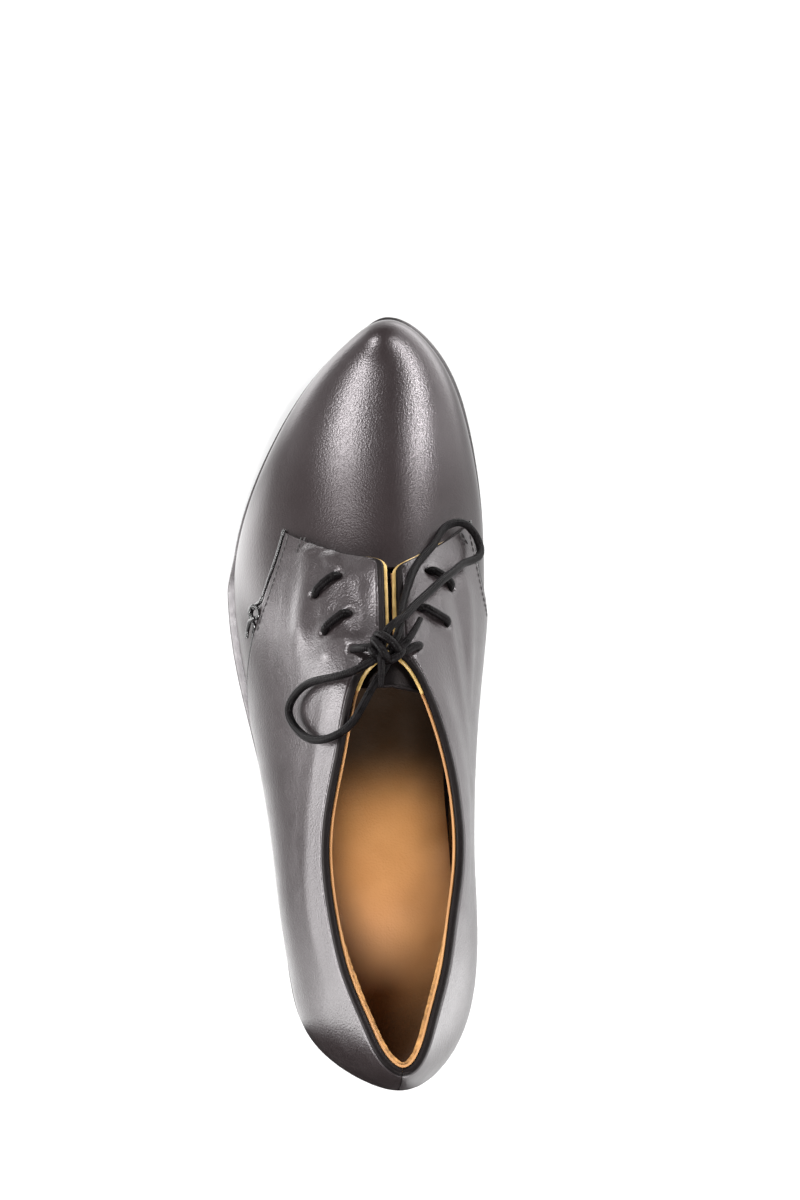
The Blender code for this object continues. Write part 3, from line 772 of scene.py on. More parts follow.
# Soft ridges and troughs of each quarter: chart places along them, half width and height in millimetres
Crease = namedtuple("Crease", "route width height")
LATERAL_CREASES = [
    Crease([(8.02, .622), (7.80, .640), (7.43, .648), (7.01, .630), (6.65, .605), (6.2, .575)], 4.2, 1.2),
    Crease([(7.90, .715), (7.55, .735), (7.10, .735), (6.75, .72)], 4.5, 0.8),
    Crease([(7.90, .515), (7.50, .505), (7.05, .485), (6.47, .440), (5.93, .380)], 3.4, -0.25),
    Crease([(7.68, .97), (7.42, .985), (7.07, .985), (6.65, .975), (6.45, .95)], 3.4, 0.45),
    Crease([(7.46, .870), (7.07, .872), (6.72, .866), (6.48, .850)], 2.4, -0.45),
    Crease([(7.98, .694), (7.73, .729), (7.52, .756)], 1.5, 0.4),
    Crease([(7.94, .745), (7.74, .765), (7.49, .785)], 1.4, 0.5),
    Crease([(6.20, .665), (6.36, .721), (6.45, .771), (6.50, .826)], 2.2, 0.5),
    Crease([(6.12, .755), (5.84, .685), (5.52, .622), (5.22, .580), (4.9, .54), (4.47, .505), (3.84, .46),
            (3.12, .42), (2.42, .42), (1.82, .44)], 4.0, 0.35),
]
MEDIAL_CREASES = [
    Crease([(7.9, .72), (7.12, .703), (6.55, .607), (5.77, .507), (5.03, .463)], 3.4, 0.5),
    Crease([(7.9, .62), (7.2, .60), (6.6, .53), (5.9, .44)], 3.0, -0.5),
    Crease([(7.8, .533), (7.17, .493), (6.57, .455), (6.03, .44), (5.52, .44)], 3.0, 0.6),
    Crease([(6.0, .69), (5.58, .61), (5.20, .55), (4.66, .50), (3.9, .45)], 4.5, 0.5),
    Crease([(6.9, .86), (6.5, .85), (6.2, .83)], 1.8, 0.35),
    Crease([(4.4, .50), (3.6, .46), (2.6, .42)], 5.0, 0.5),
]
CREASES = {"lateral": LATERAL_CREASES, "medial": MEDIAL_CREASES}

# Places where the leather stands off the last: chart place, radius and height in millimetres
Bulge = namedtuple("Bulge", "u v radius height")
BULGES = {
    "lateral": [Bulge(7.74, .985, 13.0, 4.4), Bulge(7.3, .985, 10.0, 1.2), Bulge(6.3, .74, 9.0, 0.6)],
    "medial": [Bulge(7.64, .94, 9.0, 1.6)],
}
CREASE_SAMPLES = 48
CREASE_FADE = 0.2
CREASE_END = 0.15

# Lace holes, from the toe: in pairs for the bars, then the top hole
LaceHole = namedtuple("LaceHole", "u v")
HOLES = {
    "lateral": [LaceHole(7.42, .787), LaceHole(7.10, .687), LaceHole(6.85, .823), LaceHole(6.57, .71),
                LaceHole(6.35, .823)],
    "medial": [LaceHole(7.58, .773), LaceHole(7.33, .62), LaceHole(6.98, .837), LaceHole(6.75, .65),
               LaceHole(6.43, .837)],
}
HOLE_DEPTH = 1.3 * MM
HOLE_RADIUS = 1.35 * MM
HOLE_LIP = 0.4 * MM
HOLE_LIP_RADIUS = 3.6 * MM

# Grid and edges of a quarter
QUARTER_ROWS = 104
BACK_COLUMNS = 110
FACING_COLUMNS = 76
FRONT_COLUMNS = 60
FACING_BACK_U = COLLAR_FRONT_U - 0.5
FRONT_START_U = THROAT_U - 0.15
ROW_CROWDING = 1.5
BINDING_WIDTH = 1.2 * MM
GROOVE_DEPTH = 0.3 * MM
GROOVE_WIDTH = 0.35 * MM
BEAD_ROWS = 9
FRONT_INSET_U = 0.045
FRONT_SOFTNESS = 1.6 * CORNER_SOFTNESS
LOW_INSET_V = 0.008
LOW_INSET_FADE_U = 0.25
LEAST_WIDTH_V = 0.002
NARROW_V = 0.05
EDGE_PROBE_V = 0.02
ROLL_FADE = 3.0 * MM
ROLL_END_U = THROAT_U - 0.12
ROLL_END_FADE_U = 0.2


def side_u(folded, side):
    """Chart place on a side of the shoe of a place given for the outer side."""
    folded = np.asarray(folded, float)
    return folded if side.sign < 0 else TURN - folded


def edge_curve(edge):
    """Height v of a quarter's edge on the vamp, as a function of u."""
    return open_spline([p.u for p in edge], [p.v for p in edge])


def quarter_low(folded, edge):
    """Lower edge of a quarter: the feather edge, then its own edge on the vamp."""
    start = edge[0].u
    rise = np.clip(edge_curve(edge)(np.clip(folded, start, None)), 0.0, None)
    inset = LOW_INSET_V * smoothstep((folded - start) / LOW_INSET_FADE_U)
    return np.where(folded > start, rise + inset, 0.0)


def quarter_high(folded, side):
    """Upper edge of a quarter: topline and slit, then its front edge from the throat to the corner."""
    u = side_u(folded, side)
    corner = side.edge[-1]
    collar = collar_v(u, FACING_SLIT + 2 * ROLL_REACH, ROLL_REACH)
    start = slit_v(side_u(THROAT_U, side), FACING_SLIT)
    share = (folded + FRONT_INSET_U - THROAT_U) / (corner.u - THROAT_U)
    front = start + (corner.v - start) * share
    return soft_min(collar, front, FRONT_SOFTNESS)


def quarter_places(side):
    """Chart places of a quarter's columns, closer together at the facing and the front edge."""
    corner_u = side.edge[-1].u - FRONT_INSET_U
    back = np.linspace(BACK_SEAM_U, FACING_BACK_U, BACK_COLUMNS, endpoint=False)
    facing = np.linspace(FACING_BACK_U, FRONT_START_U, FACING_COLUMNS, endpoint=False)
    front = np.linspace(FRONT_START_U, corner_u, FRONT_COLUMNS)
    return np.concatenate([back, facing, front])


def route_places(route, count):
    """Evenly spread chart places of a smooth curve through a given route."""
    return open_spline(np.linspace(0, 1, len(route)), route)(np.linspace(0, 1, count))


def from_place(points, place, side):
    """Squared distance of points from a place on the last."""
    return ((points - last_point(side_u(place.u, side), place.v)) ** 2).sum(-1)


def fold_height(points, side):
    """Height of creases and bulges over points of a quarter."""
    height = np.zeros(points.shape[:-1])
    for crease in CREASES[side.word]:
        route = route_places(crease.route, CREASE_SAMPLES)
        line = last_point(side_u(route[:, 0], side), route[:, 1])
        best = np.full(height.shape, np.inf)
        nearest = np.zeros(height.shape)
        for k, spot in enumerate(line):
            away = ((points - spot) ** 2).sum(-1)
            nearest = np.where(away < best, k / (CREASE_SAMPLES - 1), nearest)
            best = np.minimum(best, away)
        fade = smoothstep(nearest / CREASE_FADE) * smoothstep((1 - nearest) / CREASE_FADE)
        share = CREASE_END + (1 - CREASE_END) * fade
        height += crease.height * MM * np.exp(-best / (crease.width * MM) ** 2) * share
    for bulge in BULGES[side.word]:
        away = from_place(points, bulge, side)
        height += bulge.height * MM * np.exp(-away / (bulge.radius * MM) ** 2)
    return height


def relief_at(points, side):
    """Height of the folds and of the dents at the lace holes over points of a quarter."""
    height = fold_height(points, side)
    for hole in HOLES[side.word]:
        away = from_place(points, hole, side)
        height -= HOLE_DEPTH * np.exp(-away / HOLE_RADIUS ** 2)
        height += HOLE_LIP * np.exp(-away / HOLE_LIP_RADIUS ** 2)
    return height


def edge_line(u, v, inner_v):
    """Points along an edge of a patch, their normals, and the directions that lead off the patch."""
    point = last_point(u, v)
    normal = last_normal(u, v)
    away = unit(np.cross(normal, np.gradient(point, axis=0)))
    inward = last_point(u, v + EDGE_PROBE_V * np.sign(inner_v - v)) - point
    flip = np.where((away * inward).sum(-1) > 0, -1.0, 1.0)
    return point, normal, away * flip[:, None]


def bead_rows(line, outer, inner, reach):
    """Half-round edge from the outer height of a wall to its inner height."""
    point, normal, away = line
    turn = np.linspace(0, np.pi, BEAD_ROWS + 2)[1:-1]
    middle = (outer + inner) / 2
    half = (outer - inner) / 2
    rise = middle[:, None] + half[:, None] * np.cos(turn)
    run = reach[:, None] * np.sin(turn)
    return point[:, None] + normal[:, None] * rise[..., None] + away[:, None] * run[..., None]


def quarter_faces(columns, count, side):
    """Faces round a quarter's wall, and those that close it at the back seam and the front corner."""
    faces = grid_faces(columns, count, wrap=True)
    faces = (faces[:, ::-1] if side.sign < 0 else faces).tolist()
    innermost = 2 * QUARTER_ROWS + BEAD_ROWS - 1
    for column, flip in ((0, side.sign < 0), (columns - 1, side.sign > 0)):
        start = column * count
        for outside in range(QUARTER_ROWS - 1):
            inside = innermost - outside
            face = [start + row for row in (outside, outside + 1, inside - 1, inside)]
            faces.append(face[::-1] if flip else face)
    return faces


# What the facing's lining needs of a quarter's upper edge
QuarterEdge = namedtuple("QuarterEdge", "folded point normal away")


def build_quarter(side):
    """Quarter with rolled topline and facing, cut edges, creases and dented lace holes."""
    folded = quarter_places(side)
    u = side_u(folded, side)
    low = quarter_low(folded, side.edge)
    high = np.maximum(quarter_high(folded, side), low + LEAST_WIDTH_V)
    share = 1 - (1 - np.linspace(0, 1, QUARTER_ROWS)) ** ROW_CROWDING
    v = low[:, None] + (high - low)[:, None] * share
    places = np.broadcast_to(u[:, None], v.shape)
    point = last_point(places, v)
    normal = last_normal(places, v)
    from_top = np.linalg.norm(point - point[:, -1:], axis=-1)
    bound = folded < THROAT_U
    groove = GROOVE_DEPTH * np.exp(-((from_top - BINDING_WIDTH) / GROOVE_WIDTH) ** 2)
    relief = relief_at(point, side) - groove * bound[:, None]
    on_vamp = smoothstep((folded - ROLL_END_U) / ROLL_END_FADE_U)
    roll_in = ROLL_IN + (QUARTER_IN - ROLL_IN) * on_vamp
    reach = ROLL_REACH + (EDGE_REACH - ROLL_REACH) * on_vamp
    near_top = 1 - smoothstep(from_top / ROLL_FADE)
    inside = QUARTER_IN + (roll_in - QUARTER_IN)[:, None] * near_top
    outer = point + normal * (QUARTER_OUT + relief)[..., None]
    inner = point + normal * (inside + relief)[..., None]
    top_line = edge_line(u, high, low)
    low_line = edge_line(u, low, high)
    narrow = np.clip((high - low) / NARROW_V, 0.0, 1.0)
    top = bead_rows(top_line, QUARTER_OUT + relief[:, -1], roll_in + relief[:, -1], reach * narrow)
    bottom = bead_rows(low_line, QUARTER_OUT + relief[:, 0], QUARTER_IN + relief[:, 0], EDGE_REACH * narrow)
    ring = np.concatenate([outer, top, inner[:, ::-1], bottom[:, ::-1]], axis=1)
    faces = quarter_faces(*ring.shape[:2], side)
    on_binding = np.zeros((len(u) - 1, ring.shape[1]), int)
    on_binding[:, :QUARTER_ROWS] = (from_top < BINDING_WIDTH)[1:] & bound[1:, None]
    on_binding[:, QUARTER_ROWS - 1:] = 1
    marks = np.concatenate([on_binding.ravel(), np.ones(len(faces) - on_binding.size, int)])
    name = "quarter_" + side.word
    add_piece(name + "_leather", ring.reshape(-1, 3), faces, ["quarter_calf", "black_edge"],
              [name], face_materials=marks)
    edge, edge_normal, away = top_line
    return QuarterEdge(folded, edge + edge_normal * relief[:, -1, None], edge_normal, away)


EDGES = {side.word: build_quarter(side) for side in SIDES}


# Vamp, linings and tongue

VAMP_BACK_U = 4.7
VAMP_END_U = 7.73
VAMP_TURN_U = 0.07
VAMP_LAP_V = 0.12
VAMP_TURN_TOP_V = 0.999
VAMP_ROWS = 72
VAMP_LAP_COLUMNS = 60
VAMP_TURN_COLUMNS = 8
VAMP_TOE_COLUMNS = 120

# Firm crown at the tip, where the toe puff ends
TOE_CROWN = Bulge(11.52, .60, 7.5, 1.6)
CROWN_START_V = 0.4


def build_vamp():
    """Vamp from the tip to where the quarters cover it, with a lined inside."""
    turn_u = VAMP_END_U - VAMP_TURN_U
    places = np.concatenate([np.linspace(VAMP_BACK_U, turn_u, VAMP_LAP_COLUMNS, endpoint=False),
                             np.linspace(turn_u, VAMP_END_U, VAMP_TURN_COLUMNS, endpoint=False),
                             np.linspace(VAMP_END_U, TIP_U, VAMP_TOE_COLUMNS)])
    behind = np.arange(len(places)) < VAMP_LAP_COLUMNS + VAMP_TURN_COLUMNS
    turn = smoothstep((places - turn_u) / VAMP_TURN_U)
    patches = []
    for side in SIDES:
        lap = np.clip(quarter_low(places, side.edge) + VAMP_LAP_V, 0, 1)
        top = np.where(behind, lap + (VAMP_TURN_TOP_V - lap) * turn, 1.0)
        v = top[:, None] * np.linspace(0, 1, VAMP_ROWS)
        u = np.broadcast_to(side_u(places, side)[:, None], v.shape)
        from_crown = from_place(last_point(u, v), TOE_CROWN, LATERAL)
        crown = TOE_CROWN.height * MM * np.exp(-from_crown / (TOE_CROWN.radius * MM) ** 2)
        crown = crown * smoothstep(v / CROWN_START_V)
        patches.append(Patch(u, v, crown, VAMP_IN + crown, side.sign < 0))
    add_patches("vamp_leather", patches, ["vamp_calf", "lining_tan"], ["upper"])


LINING_DROP = 0.4 * MM
LINING_COLUMNS = 260
LINING_ROWS = 48


def build_lining():
    """Tan lining behind the quarters, from throat to throat round the heel."""
    u = np.linspace(-THROAT_U, THROAT_U, LINING_COLUMNS)
    top = collar_v(u % TURN, LINING_SLIT, LINING_DROP)
    v = top[:, None] * np.linspace(0, 1, LINING_ROWS)
    places = np.broadcast_to(u[:, None], v.shape)
    patch = Patch(places, v, LINING_OUT, LINING_IN, True)
    add_patches("lining", [patch], ["lining_tan"])


GRIP_SEED = 7
GRIP_END_U = 2.7
GRIP_TAPER_U = 0.7
GRIP_LOW_V = 0.3
GRIP_DROP = 0.5 * MM
GRIP_ROUGH_V = 0.004
GRIP_OUT = LINING_IN + 0.15 * MM
GRIP_THIN = LINING_IN - 0.1 * MM
GRIP_COLUMNS = 240
GRIP_ROWS = 30
GRIP_BLUR = 5


def build_heel_grip():
    """Suede heel grip inside the back of the collar, with a rough cut edge."""
    rng = np.random.default_rng(GRIP_SEED)
    u = np.linspace(-GRIP_END_U, GRIP_END_U, GRIP_COLUMNS)
    draws = rng.normal(0, 1, len(u) + GRIP_BLUR - 1)
    rough = np.convolve(draws, np.ones(GRIP_BLUR) / GRIP_BLUR, "valid")
    top = collar_v(u % TURN, LINING_SLIT, GRIP_DROP) + GRIP_ROUGH_V * rough
    taper = smoothstep((GRIP_END_U - np.abs(u)) / GRIP_TAPER_U)
    v = GRIP_LOW_V + (top[:, None] - GRIP_LOW_V) * np.linspace(0, 1, GRIP_ROWS)
    places = np.broadcast_to(u[:, None], v.shape)
    inner = GRIP_THIN + (GRIP_IN - LINING_IN) * taper
    patch = Patch(places, v, GRIP_OUT, inner[:, None], True)
    add_patches("heel_grip", [patch], ["heel_suede"])


# Pale lining that shows beside the facings: where it ends on the front edge, how far it stands out
FACING_FRONT_U = {"lateral": 7.80, "medial": 8.10}
FACING_FADE_U = 0.12
FACING_STRIP = 1.05 * MM
FACING_FRONT_STRIP = 0.55 * MM
FACING_FRONT_INSET = 0.35 * MM
FACING_HIDDEN = 2.5 * MM
FACING_THICK = 0.5 * MM
FACING_TOP = 0.35 * MM
FACING_DROP = 0.9 * MM
FACING_TURN_U = THROAT_U - 0.1
FACING_TURN_FADE_U = 0.15
FACING_RIM_ROWS = 9


def build_facing_lining(side):
    """Gold strip that stands out under the facing's edge, from the notch round the throat."""
    edge = EDGES[side.word]
    front = FACING_FRONT_U[side.word]
    kept = (edge.folded >= NOTCH_U) & (edge.folded <= front)
    folded = edge.folded[kept]
    point = edge.point[kept]
    normal = edge.normal[kept]
    away = edge.away[kept]
    in_slit = 1 - smoothstep((folded - FACING_TURN_U) / FACING_TURN_FADE_U)
    fade = smoothstep((front - folded) / FACING_FADE_U)
    on_front = FACING_FRONT_STRIP * fade - FACING_FRONT_INSET
    reach = ROLL_REACH + FACING_STRIP * in_slit + on_front * (1 - in_slit)
    middle = FACING_TOP - FACING_DROP * in_slit
    half = FACING_THICK / 2
    rows = []
    for angle in np.linspace(-np.pi / 2, np.pi / 2, FACING_RIM_ROWS):
        rise = middle + half * np.sin(angle)
        run = reach - half * (1 - np.cos(angle))
        rows.append(point + normal * rise[:, None] + away * run[:, None])
    for rise in (middle + half, middle - half):
        rows.append(point + normal * rise[:, None] - away * FACING_HIDDEN)
    ring = np.stack(rows, axis=1)
    faces = grid_faces(*ring.shape[:2], wrap=True)
    faces = (faces if side.sign < 0 else faces[:, ::-1]).tolist()
    faces += end_faces(*ring.shape[:2])
    name = "facing_lining_" + side.word
    add_piece(name, ring.reshape(-1, 3), faces, ["lining_gold"])


TONGUE_FRONT_U = 8.0
TONGUE_TOP_U = 6.03
TONGUE_SWEEP_U = 0.45
TONGUE_EDGE_FRONT_V = 0.62
TONGUE_EDGE_TOP_V = 0.72
TONGUE_ROWS = 26
TONGUE_COLUMNS = 60
TONGUE_GLUE = 0.05 * MM
TONGUE_BINDING_RADIUS = 0.75 * MM
TONGUE_BINDING_SIDES = 10


def tongue_places():
    """Chart places of both halves of the tongue, its top edge swept back towards its corners."""
    share = np.linspace(0, 1, TONGUE_COLUMNS)
    halves = []
    for side in SIDES:
        edge = TONGUE_EDGE_TOP_V + (TONGUE_EDGE_FRONT_V - TONGUE_EDGE_TOP_V) * smoothstep(share)
        v = edge[:, None] + (1 - edge)[:, None] * np.linspace(0, 1, TONGUE_ROWS)
        top = TONGUE_TOP_U - TONGUE_SWEEP_U * (1 - v) * (1 - share)[:, None]
        folded = top + (TONGUE_FRONT_U - TONGUE_TOP_U) * share[:, None]
        halves.append((side, side_u(folded, side), v))
    return halves


def build_tongue():
    """Tongue leather with its lining, and the bound edge at its top."""
    layers = (("tongue_leather", TONGUE_OUT, TONGUE_MIDDLE, "black_edge", "black_leather", ["tongue"]),
              ("tongue_lining", TONGUE_MIDDLE - TONGUE_GLUE, TONGUE_IN, "lining_tan", "tan_leather", []))
    halves = tongue_places()
    for name, high, low, material, slot, stands_for in layers:
        patches = [Patch(u, v, high, low, side.sign < 0) for side, u, v in halves]
        add_patches(name, patches, [material], stands_for)
    line = []
    for side, u, v in halves:
        half = grown(u[0], v[0], (TONGUE_OUT + TONGUE_MIDDLE) / 2)
        line.append(half if side.sign < 0 else half[-2::-1])
    binding = cord_mesh(np.concatenate(line), TONGUE_BINDING_RADIUS, TONGUE_BINDING_SIDES)
    add_cords("tongue_binding", [binding], "black_edge")


# Sole, heel and sock

def outline_point(u, margin):
    """Point of the plan at a distance outside the feather edge."""
    return chart(u)[..., FOOT] + np.asarray(margin)[..., None] * outward(u)


# Edge of the sole from its underside to the welt under the upper, in millimetres
EdgeStep = namedtuple("EdgeStep", "inset height")
SOLE_PROFILE = [
    EdgeStep(1.6, 0.0), EdgeStep(0.7, 0.06), EdgeStep(0.2, 0.35), EdgeStep(0.0, 0.9),
    EdgeStep(0.0, 1.9), EdgeStep(0.06, 2.1), EdgeStep(0.25, 2.33), EdgeStep(0.9, 2.80),
    EdgeStep(1.6, 3.30), EdgeStep(2.4, 3.85), EdgeStep(3.3, 4.40), EdgeStep(4.2, 4.75),
]
SOLE_TRIM = 1.6 * MM
SOLE_TRIM_RANGE = (7.2, 12.0)
SOLE_TRIM_FADE = 0.7
SOLE_STRIPS = 18
SOLE_SECTIONS = 190
UNDERSIDE_DEPTH = 0.05 * MM


def sole_margin(u):
    """Reach of the sole's edge past the feather edge, trimmed close on the outer side of the forepart."""
    start, end = SOLE_TRIM_RANGE
    trimmed = smoothstep((u - start) / SOLE_TRIM_FADE) * smoothstep((end - u) / SOLE_TRIM_FADE)
    return SOLE_MARGIN - SOLE_TRIM * trimmed


def sole_rings():
    """Cross sections of the sole from heel to tip, each once round: one edge, a face, and back."""
    places = np.linspace(0, TIP_U, SOLE_SECTIONS)

    def edge_plan(side, step):
        u = side_u(places, side)
        return outline_point(u, sole_margin(u) - step.inset * MM)

    rings = []
    for side, other, steps in ((MEDIAL, LATERAL, SOLE_PROFILE), (LATERAL, MEDIAL, SOLE_PROFILE[::-1])):
        rings += [(edge_plan(side, step), step.height) for step in steps]
        first = edge_plan(side, steps[-1])
        second = edge_plan(other, steps[-1])
        for share in np.linspace(0, 1, SOLE_STRIPS + 1)[1:-1]:
            rings.append((first + (second - first) * share, steps[-1].height))
    points = []
    for plan, height in rings:
        z = sole_under(plan[:, 1]) + height * MM
        points.append(np.concatenate([plan, z[:, None]], -1))
    return np.stack(points, axis=1)


def build_sole():
    """Sole with a bevelled edge, smooth on its edge and raw underneath."""
    ring = sole_rings()
    points = ring.reshape(-1, 3)
    kept, joined = weld(points, grid_faces(*ring.shape[:2], wrap=True))
    points = points[kept]
    middle = np.array([points[face].mean(axis=0) for face in joined])
    below = middle[:, 2] - sole_under(middle[:, 1]) < UNDERSIDE_DEPTH
    add_piece("sole", points, joined, ["sole_edge", "sole_flesh"], ["outsole"],
              face_materials=below)


SOCK_GAP = 2.6 * MM
SOCK_GAP_RANGE = (3.9, 6.5)
SOCK_CUP = 1.4 * MM
SOCK_CUP_WIDTH = 9.0 * MM
SOCK_STRIPS = 60
SOCK_SECTIONS = 150

# Wrinkles across the inner side of the sock, and where they set in
WRINKLE_HEIGHT = 0.12 * MM
WRINKLE_PITCH = 2.3 * MM
WRINKLE_WAVES = 3
WRINKLE_WAVE_PITCH = 6.0 * MM
WRINKLE_START_X = 12.0 * MM
WRINKLE_FADE_X = 12.0 * MM
WRINKLE_START_Y = -10.0 * MM
WRINKLE_FADE_Y = 20.0 * MM
WRINKLE_INSET = 2.0 * MM
WRINKLE_INSET_FADE = 4.0 * MM


def build_sock():
    """Tan sock: cupped towards its edges, wrinkled on the inner side, and short of the inner wall."""
    places = np.linspace(0, TIP_U, SOCK_SECTIONS)
    start, end = SOCK_GAP_RANGE
    draw = np.sin(np.pi * np.clip((places - start) / (end - start), 0, 1)) ** 2
    lateral = outline_point(places, np.full(places.shape, INSOLE_MARGIN))
    medial = outline_point(TURN - places, INSOLE_MARGIN - SOCK_GAP * draw)
    share = np.linspace(0, 1, SOCK_STRIPS)
    plan = lateral[:, None] + (medial - lateral)[:, None] * share[:, None]
    width = np.linalg.norm(medial - lateral, axis=-1)[:, None]
    to_edge = np.minimum(share, 1 - share) * width
    cup = SOCK_CUP * (1 - smoothstep(to_edge / SOCK_CUP_WIDTH))
    x, y = plan[..., 0], plan[..., 1]
    wave = WRINKLE_WAVES * np.sin(x / WRINKLE_WAVE_PITCH)
    wrinkles = WRINKLE_HEIGHT * np.sin(y / WRINKLE_PITCH + wave)
    wrinkles *= smoothstep((x - WRINKLE_START_X) / WRINKLE_FADE_X)
    wrinkles *= smoothstep((WRINKLE_START_Y - y) / WRINKLE_FADE_Y)
    wrinkles *= smoothstep((to_edge - WRINKLE_INSET) / WRINKLE_INSET_FADE)
    base = sole_under(y) + SOLE_THICK + GAP
    top = np.stack([x, y, base + INSOLE_THICK + cup + wrinkles], -1)
    under = np.stack([x, y, base + cup], -1)
    add_wall("sock", top.reshape(-1, 3), under.reshape(-1, 3), grid_faces(*x.shape)[:, ::-1],
             ["sock_tan"], ["insole"])


HEEL_POINTS = 110
BREAST_POINTS = 40
HEEL_LIFTS = 4
LIFT_GROOVE = 0.12 * MM
LIFT_ROUND = 0.2 * MM
STACK_GAP = 0.05 * MM
STACK_INSET = 0.3 * MM

# Profile of the rubber top lift: inset of its edge and height
LIFT_PROFILE = [
    EdgeStep(0.5, 0.0), EdgeStep(0.15, 0.15), EdgeStep(0.0, 0.5),
    EdgeStep(0.0, TOP_LIFT_THICK / MM - 0.25), EdgeStep(0.2, TOP_LIFT_THICK / MM),
]


def heel_outline(margin):
    """Plan of the heel: the sole's edge behind the breast, and the breast's shallow hollow."""
    outer_u = solve(lambda u: outline_point(u, margin)[1] - HEEL_BREAST_Y, *HEEL_BREAST_RANGE)
    inner_u = solve(lambda u: outline_point(TURN - u, margin)[1] - HEEL_BREAST_Y, *HEEL_BREAST_RANGE)
    back = outline_point(np.linspace(-inner_u, outer_u, HEEL_POINTS), np.full(HEEL_POINTS, margin))
    share = np.linspace(0, 1, BREAST_POINTS)[1:-1, None]
    hollow = HEEL_BREAST_HOLLOW * np.sin(np.pi * share) * np.array([0.0, 1.0])
    front = back[-1] + (back[0] - back[-1]) * share - hollow
    return np.concatenate([back, front])


def heel_piece(name, steps, material, stands_for):
    """Heel layer lofted through margins at heights, closed above and below."""
    rings = []
    for margin, z in steps:
        plan = heel_outline(margin)
        rings.append(np.concatenate([plan, np.full((len(plan), 1), z)], -1))
    ring = np.stack(rings)
    count = ring.shape[1]
    faces = grid_faces(len(rings), count, wrap=True)[:, ::-1].tolist()
    faces += end_faces(len(rings), count)
    add_piece(name, ring.reshape(-1, 3), faces, [material], [stands_for])


def build_heel():
    """Stacked heel with a fine groove between its lifts, and the rubber top lift."""
    top_margin = SOLE_MARGIN - HEEL_TAPER / 2
    low_margin = top_margin - HEEL_TAPER
    low = TOP_LIFT_THICK + STACK_GAP
    high = HEEL_HEIGHT - STACK_GAP

    def margin_at(z):
        return low_margin + HEEL_TAPER * (z - low) / (high - low)

    steps = [(low_margin - STACK_INSET, low)]
    for k in range(HEEL_LIFTS):
        start, end = (low + (high - low) * (k + s) / HEEL_LIFTS for s in (0, 1))
        steps += [(margin_at(z), z) for z in (start + LIFT_ROUND, end - LIFT_ROUND)]
        steps.append((margin_at(end) - LIFT_GROOVE, end))
    heel_piece("heel_stack", steps, "sole_edge", "heel_block")
    lift = [(low_margin - step.inset * MM, step.height * MM) for step in LIFT_PROFILE]
    heel_piece("top_lift", lift, "rubber", "heel_top_lift")


# Lace, bow and seam cords

LACE_RADIUS = 1.36 * MM
LACE_STEP = 0.9 * MM
LACE_SIDES = 14
BAR_HEIGHT = QUARTER_OUT + 1.35 * MM
BAR_ARCH = 0.5 * MM
BAR_POINTS = 7
UNDER_HEIGHT = -2.2 * MM
UNDER_SLIT = EdgePoint(THROAT_U - 0.05, 0.985)
MOUTH_HEIGHT = 0.6 * MM
END_WEAR = 0.3
END_WORN_LENGTH = 12.0 * MM

# Routes in millimetres: the loops and ends of the bow as in the part, the top runs led into the knot
KNOT_CENTRE = (4.8, 13.4, 79.4)
TOP_RUNS = {
    "lateral": [(-3.4, 13.4, 74.6), (-1.1, 13.4, 77.5), (2.4, 13.8, 78.6)],
    "medial": [(16.2, 14.4, 73.4), (13.8, 13.6, 75.4), (11.8, 12.4, 76.8), (8.0, 12.6, 78.4)],
}
LATERAL_LOOP = [
    (0.0, 8.6, 78.6), (-6.3, 5.4, 76.6), (-15.2, 3.4, 69.0), (-21.9, 0.5, 60.5), (-25.4, -6.0, 56.0),
    (-22.4, -13.0, 61.0), (-15.0, -16.2, 71.5), (-7.0, -12.2, 77.4), (-2.0, -4.6, 78.4),
    (2.0, 2.4, 77.8), (5.0, 7.2, 76.8)]
MEDIAL_LOOP = [
    (8.9, 17.3, 74.9), (11.0, 26.0, 67.2), (13.9, 35.6, 59.4), (17.9, 43.6, 52.4), (23.6, 50.4, 45.8),
    (28.1, 56.4, 40.1), (33.4, 57.7, 37.3), (36.6, 55.8, 35.2), (39.0, 52.1, 34.7), (39.5, 47.5, 37.3),
    (33.6, 43.6, 45.4), (29.6, 40.4, 52.6), (25.0, 36.8, 59.2), (20.4, 32.6, 64.2), (15.6, 28.2, 69.5),
    (10.6, 23.3, 75.0), (6.0, 19.5, 78.2)]
LATERAL_END = [(3.4, 8.4, 81.2), (3.4, 5.0, 81.6), (3.4, 1.0, 80.4)]
MEDIAL_END = [(10.8, 14.4, 79.0), (14.0, 18.4, 77.0), (16.6, 23.0, 73.6)]

# How each loop's cord starts in the knot and passes through it to the opposite free end
LATERAL_START = [(4.0, 11.4, 78.8)]
LATERAL_PASS = [(6.6, 10.6, 77.4)]
MEDIAL_START = [(6.6, 13.0, 77.4)]
MEDIAL_PASS = [(3.6, 13.6, 79.6)]

# Wraps of the knot, in millimetres from its centre
KNOT_WRAPS = [
    [(-3.4, 2.8, -2.4), (-3.6, 2.2, 0.2), (-2.3, 0.7, 2.2), (-0.7, -1.5, 2.7), (0.5, -3.5, 1.6),
     (0.8, -4.2, -1.2)],
    [(-2.6, 4.0, -1.8), (-1.4, 3.9, 0.8), (0.7, 2.7, 2.1), (2.7, 0.9, 2.2), (4.1, -0.7, 0.7),
     (4.3, -1.5, -1.8)],
    [(5.6, 0.8, -1.6), (4.9, -1.9, 0.3), (2.7, -3.7, 0.9), (0.5, -4.5, -0.4), (-0.9, -4.2, -2.0)],
    [(-4.6, 0.4, -1.8), (-3.9, -1.6, 0.2), (-1.9, -2.9, 0.4), (0.6, -2.6, -0.4)],
]


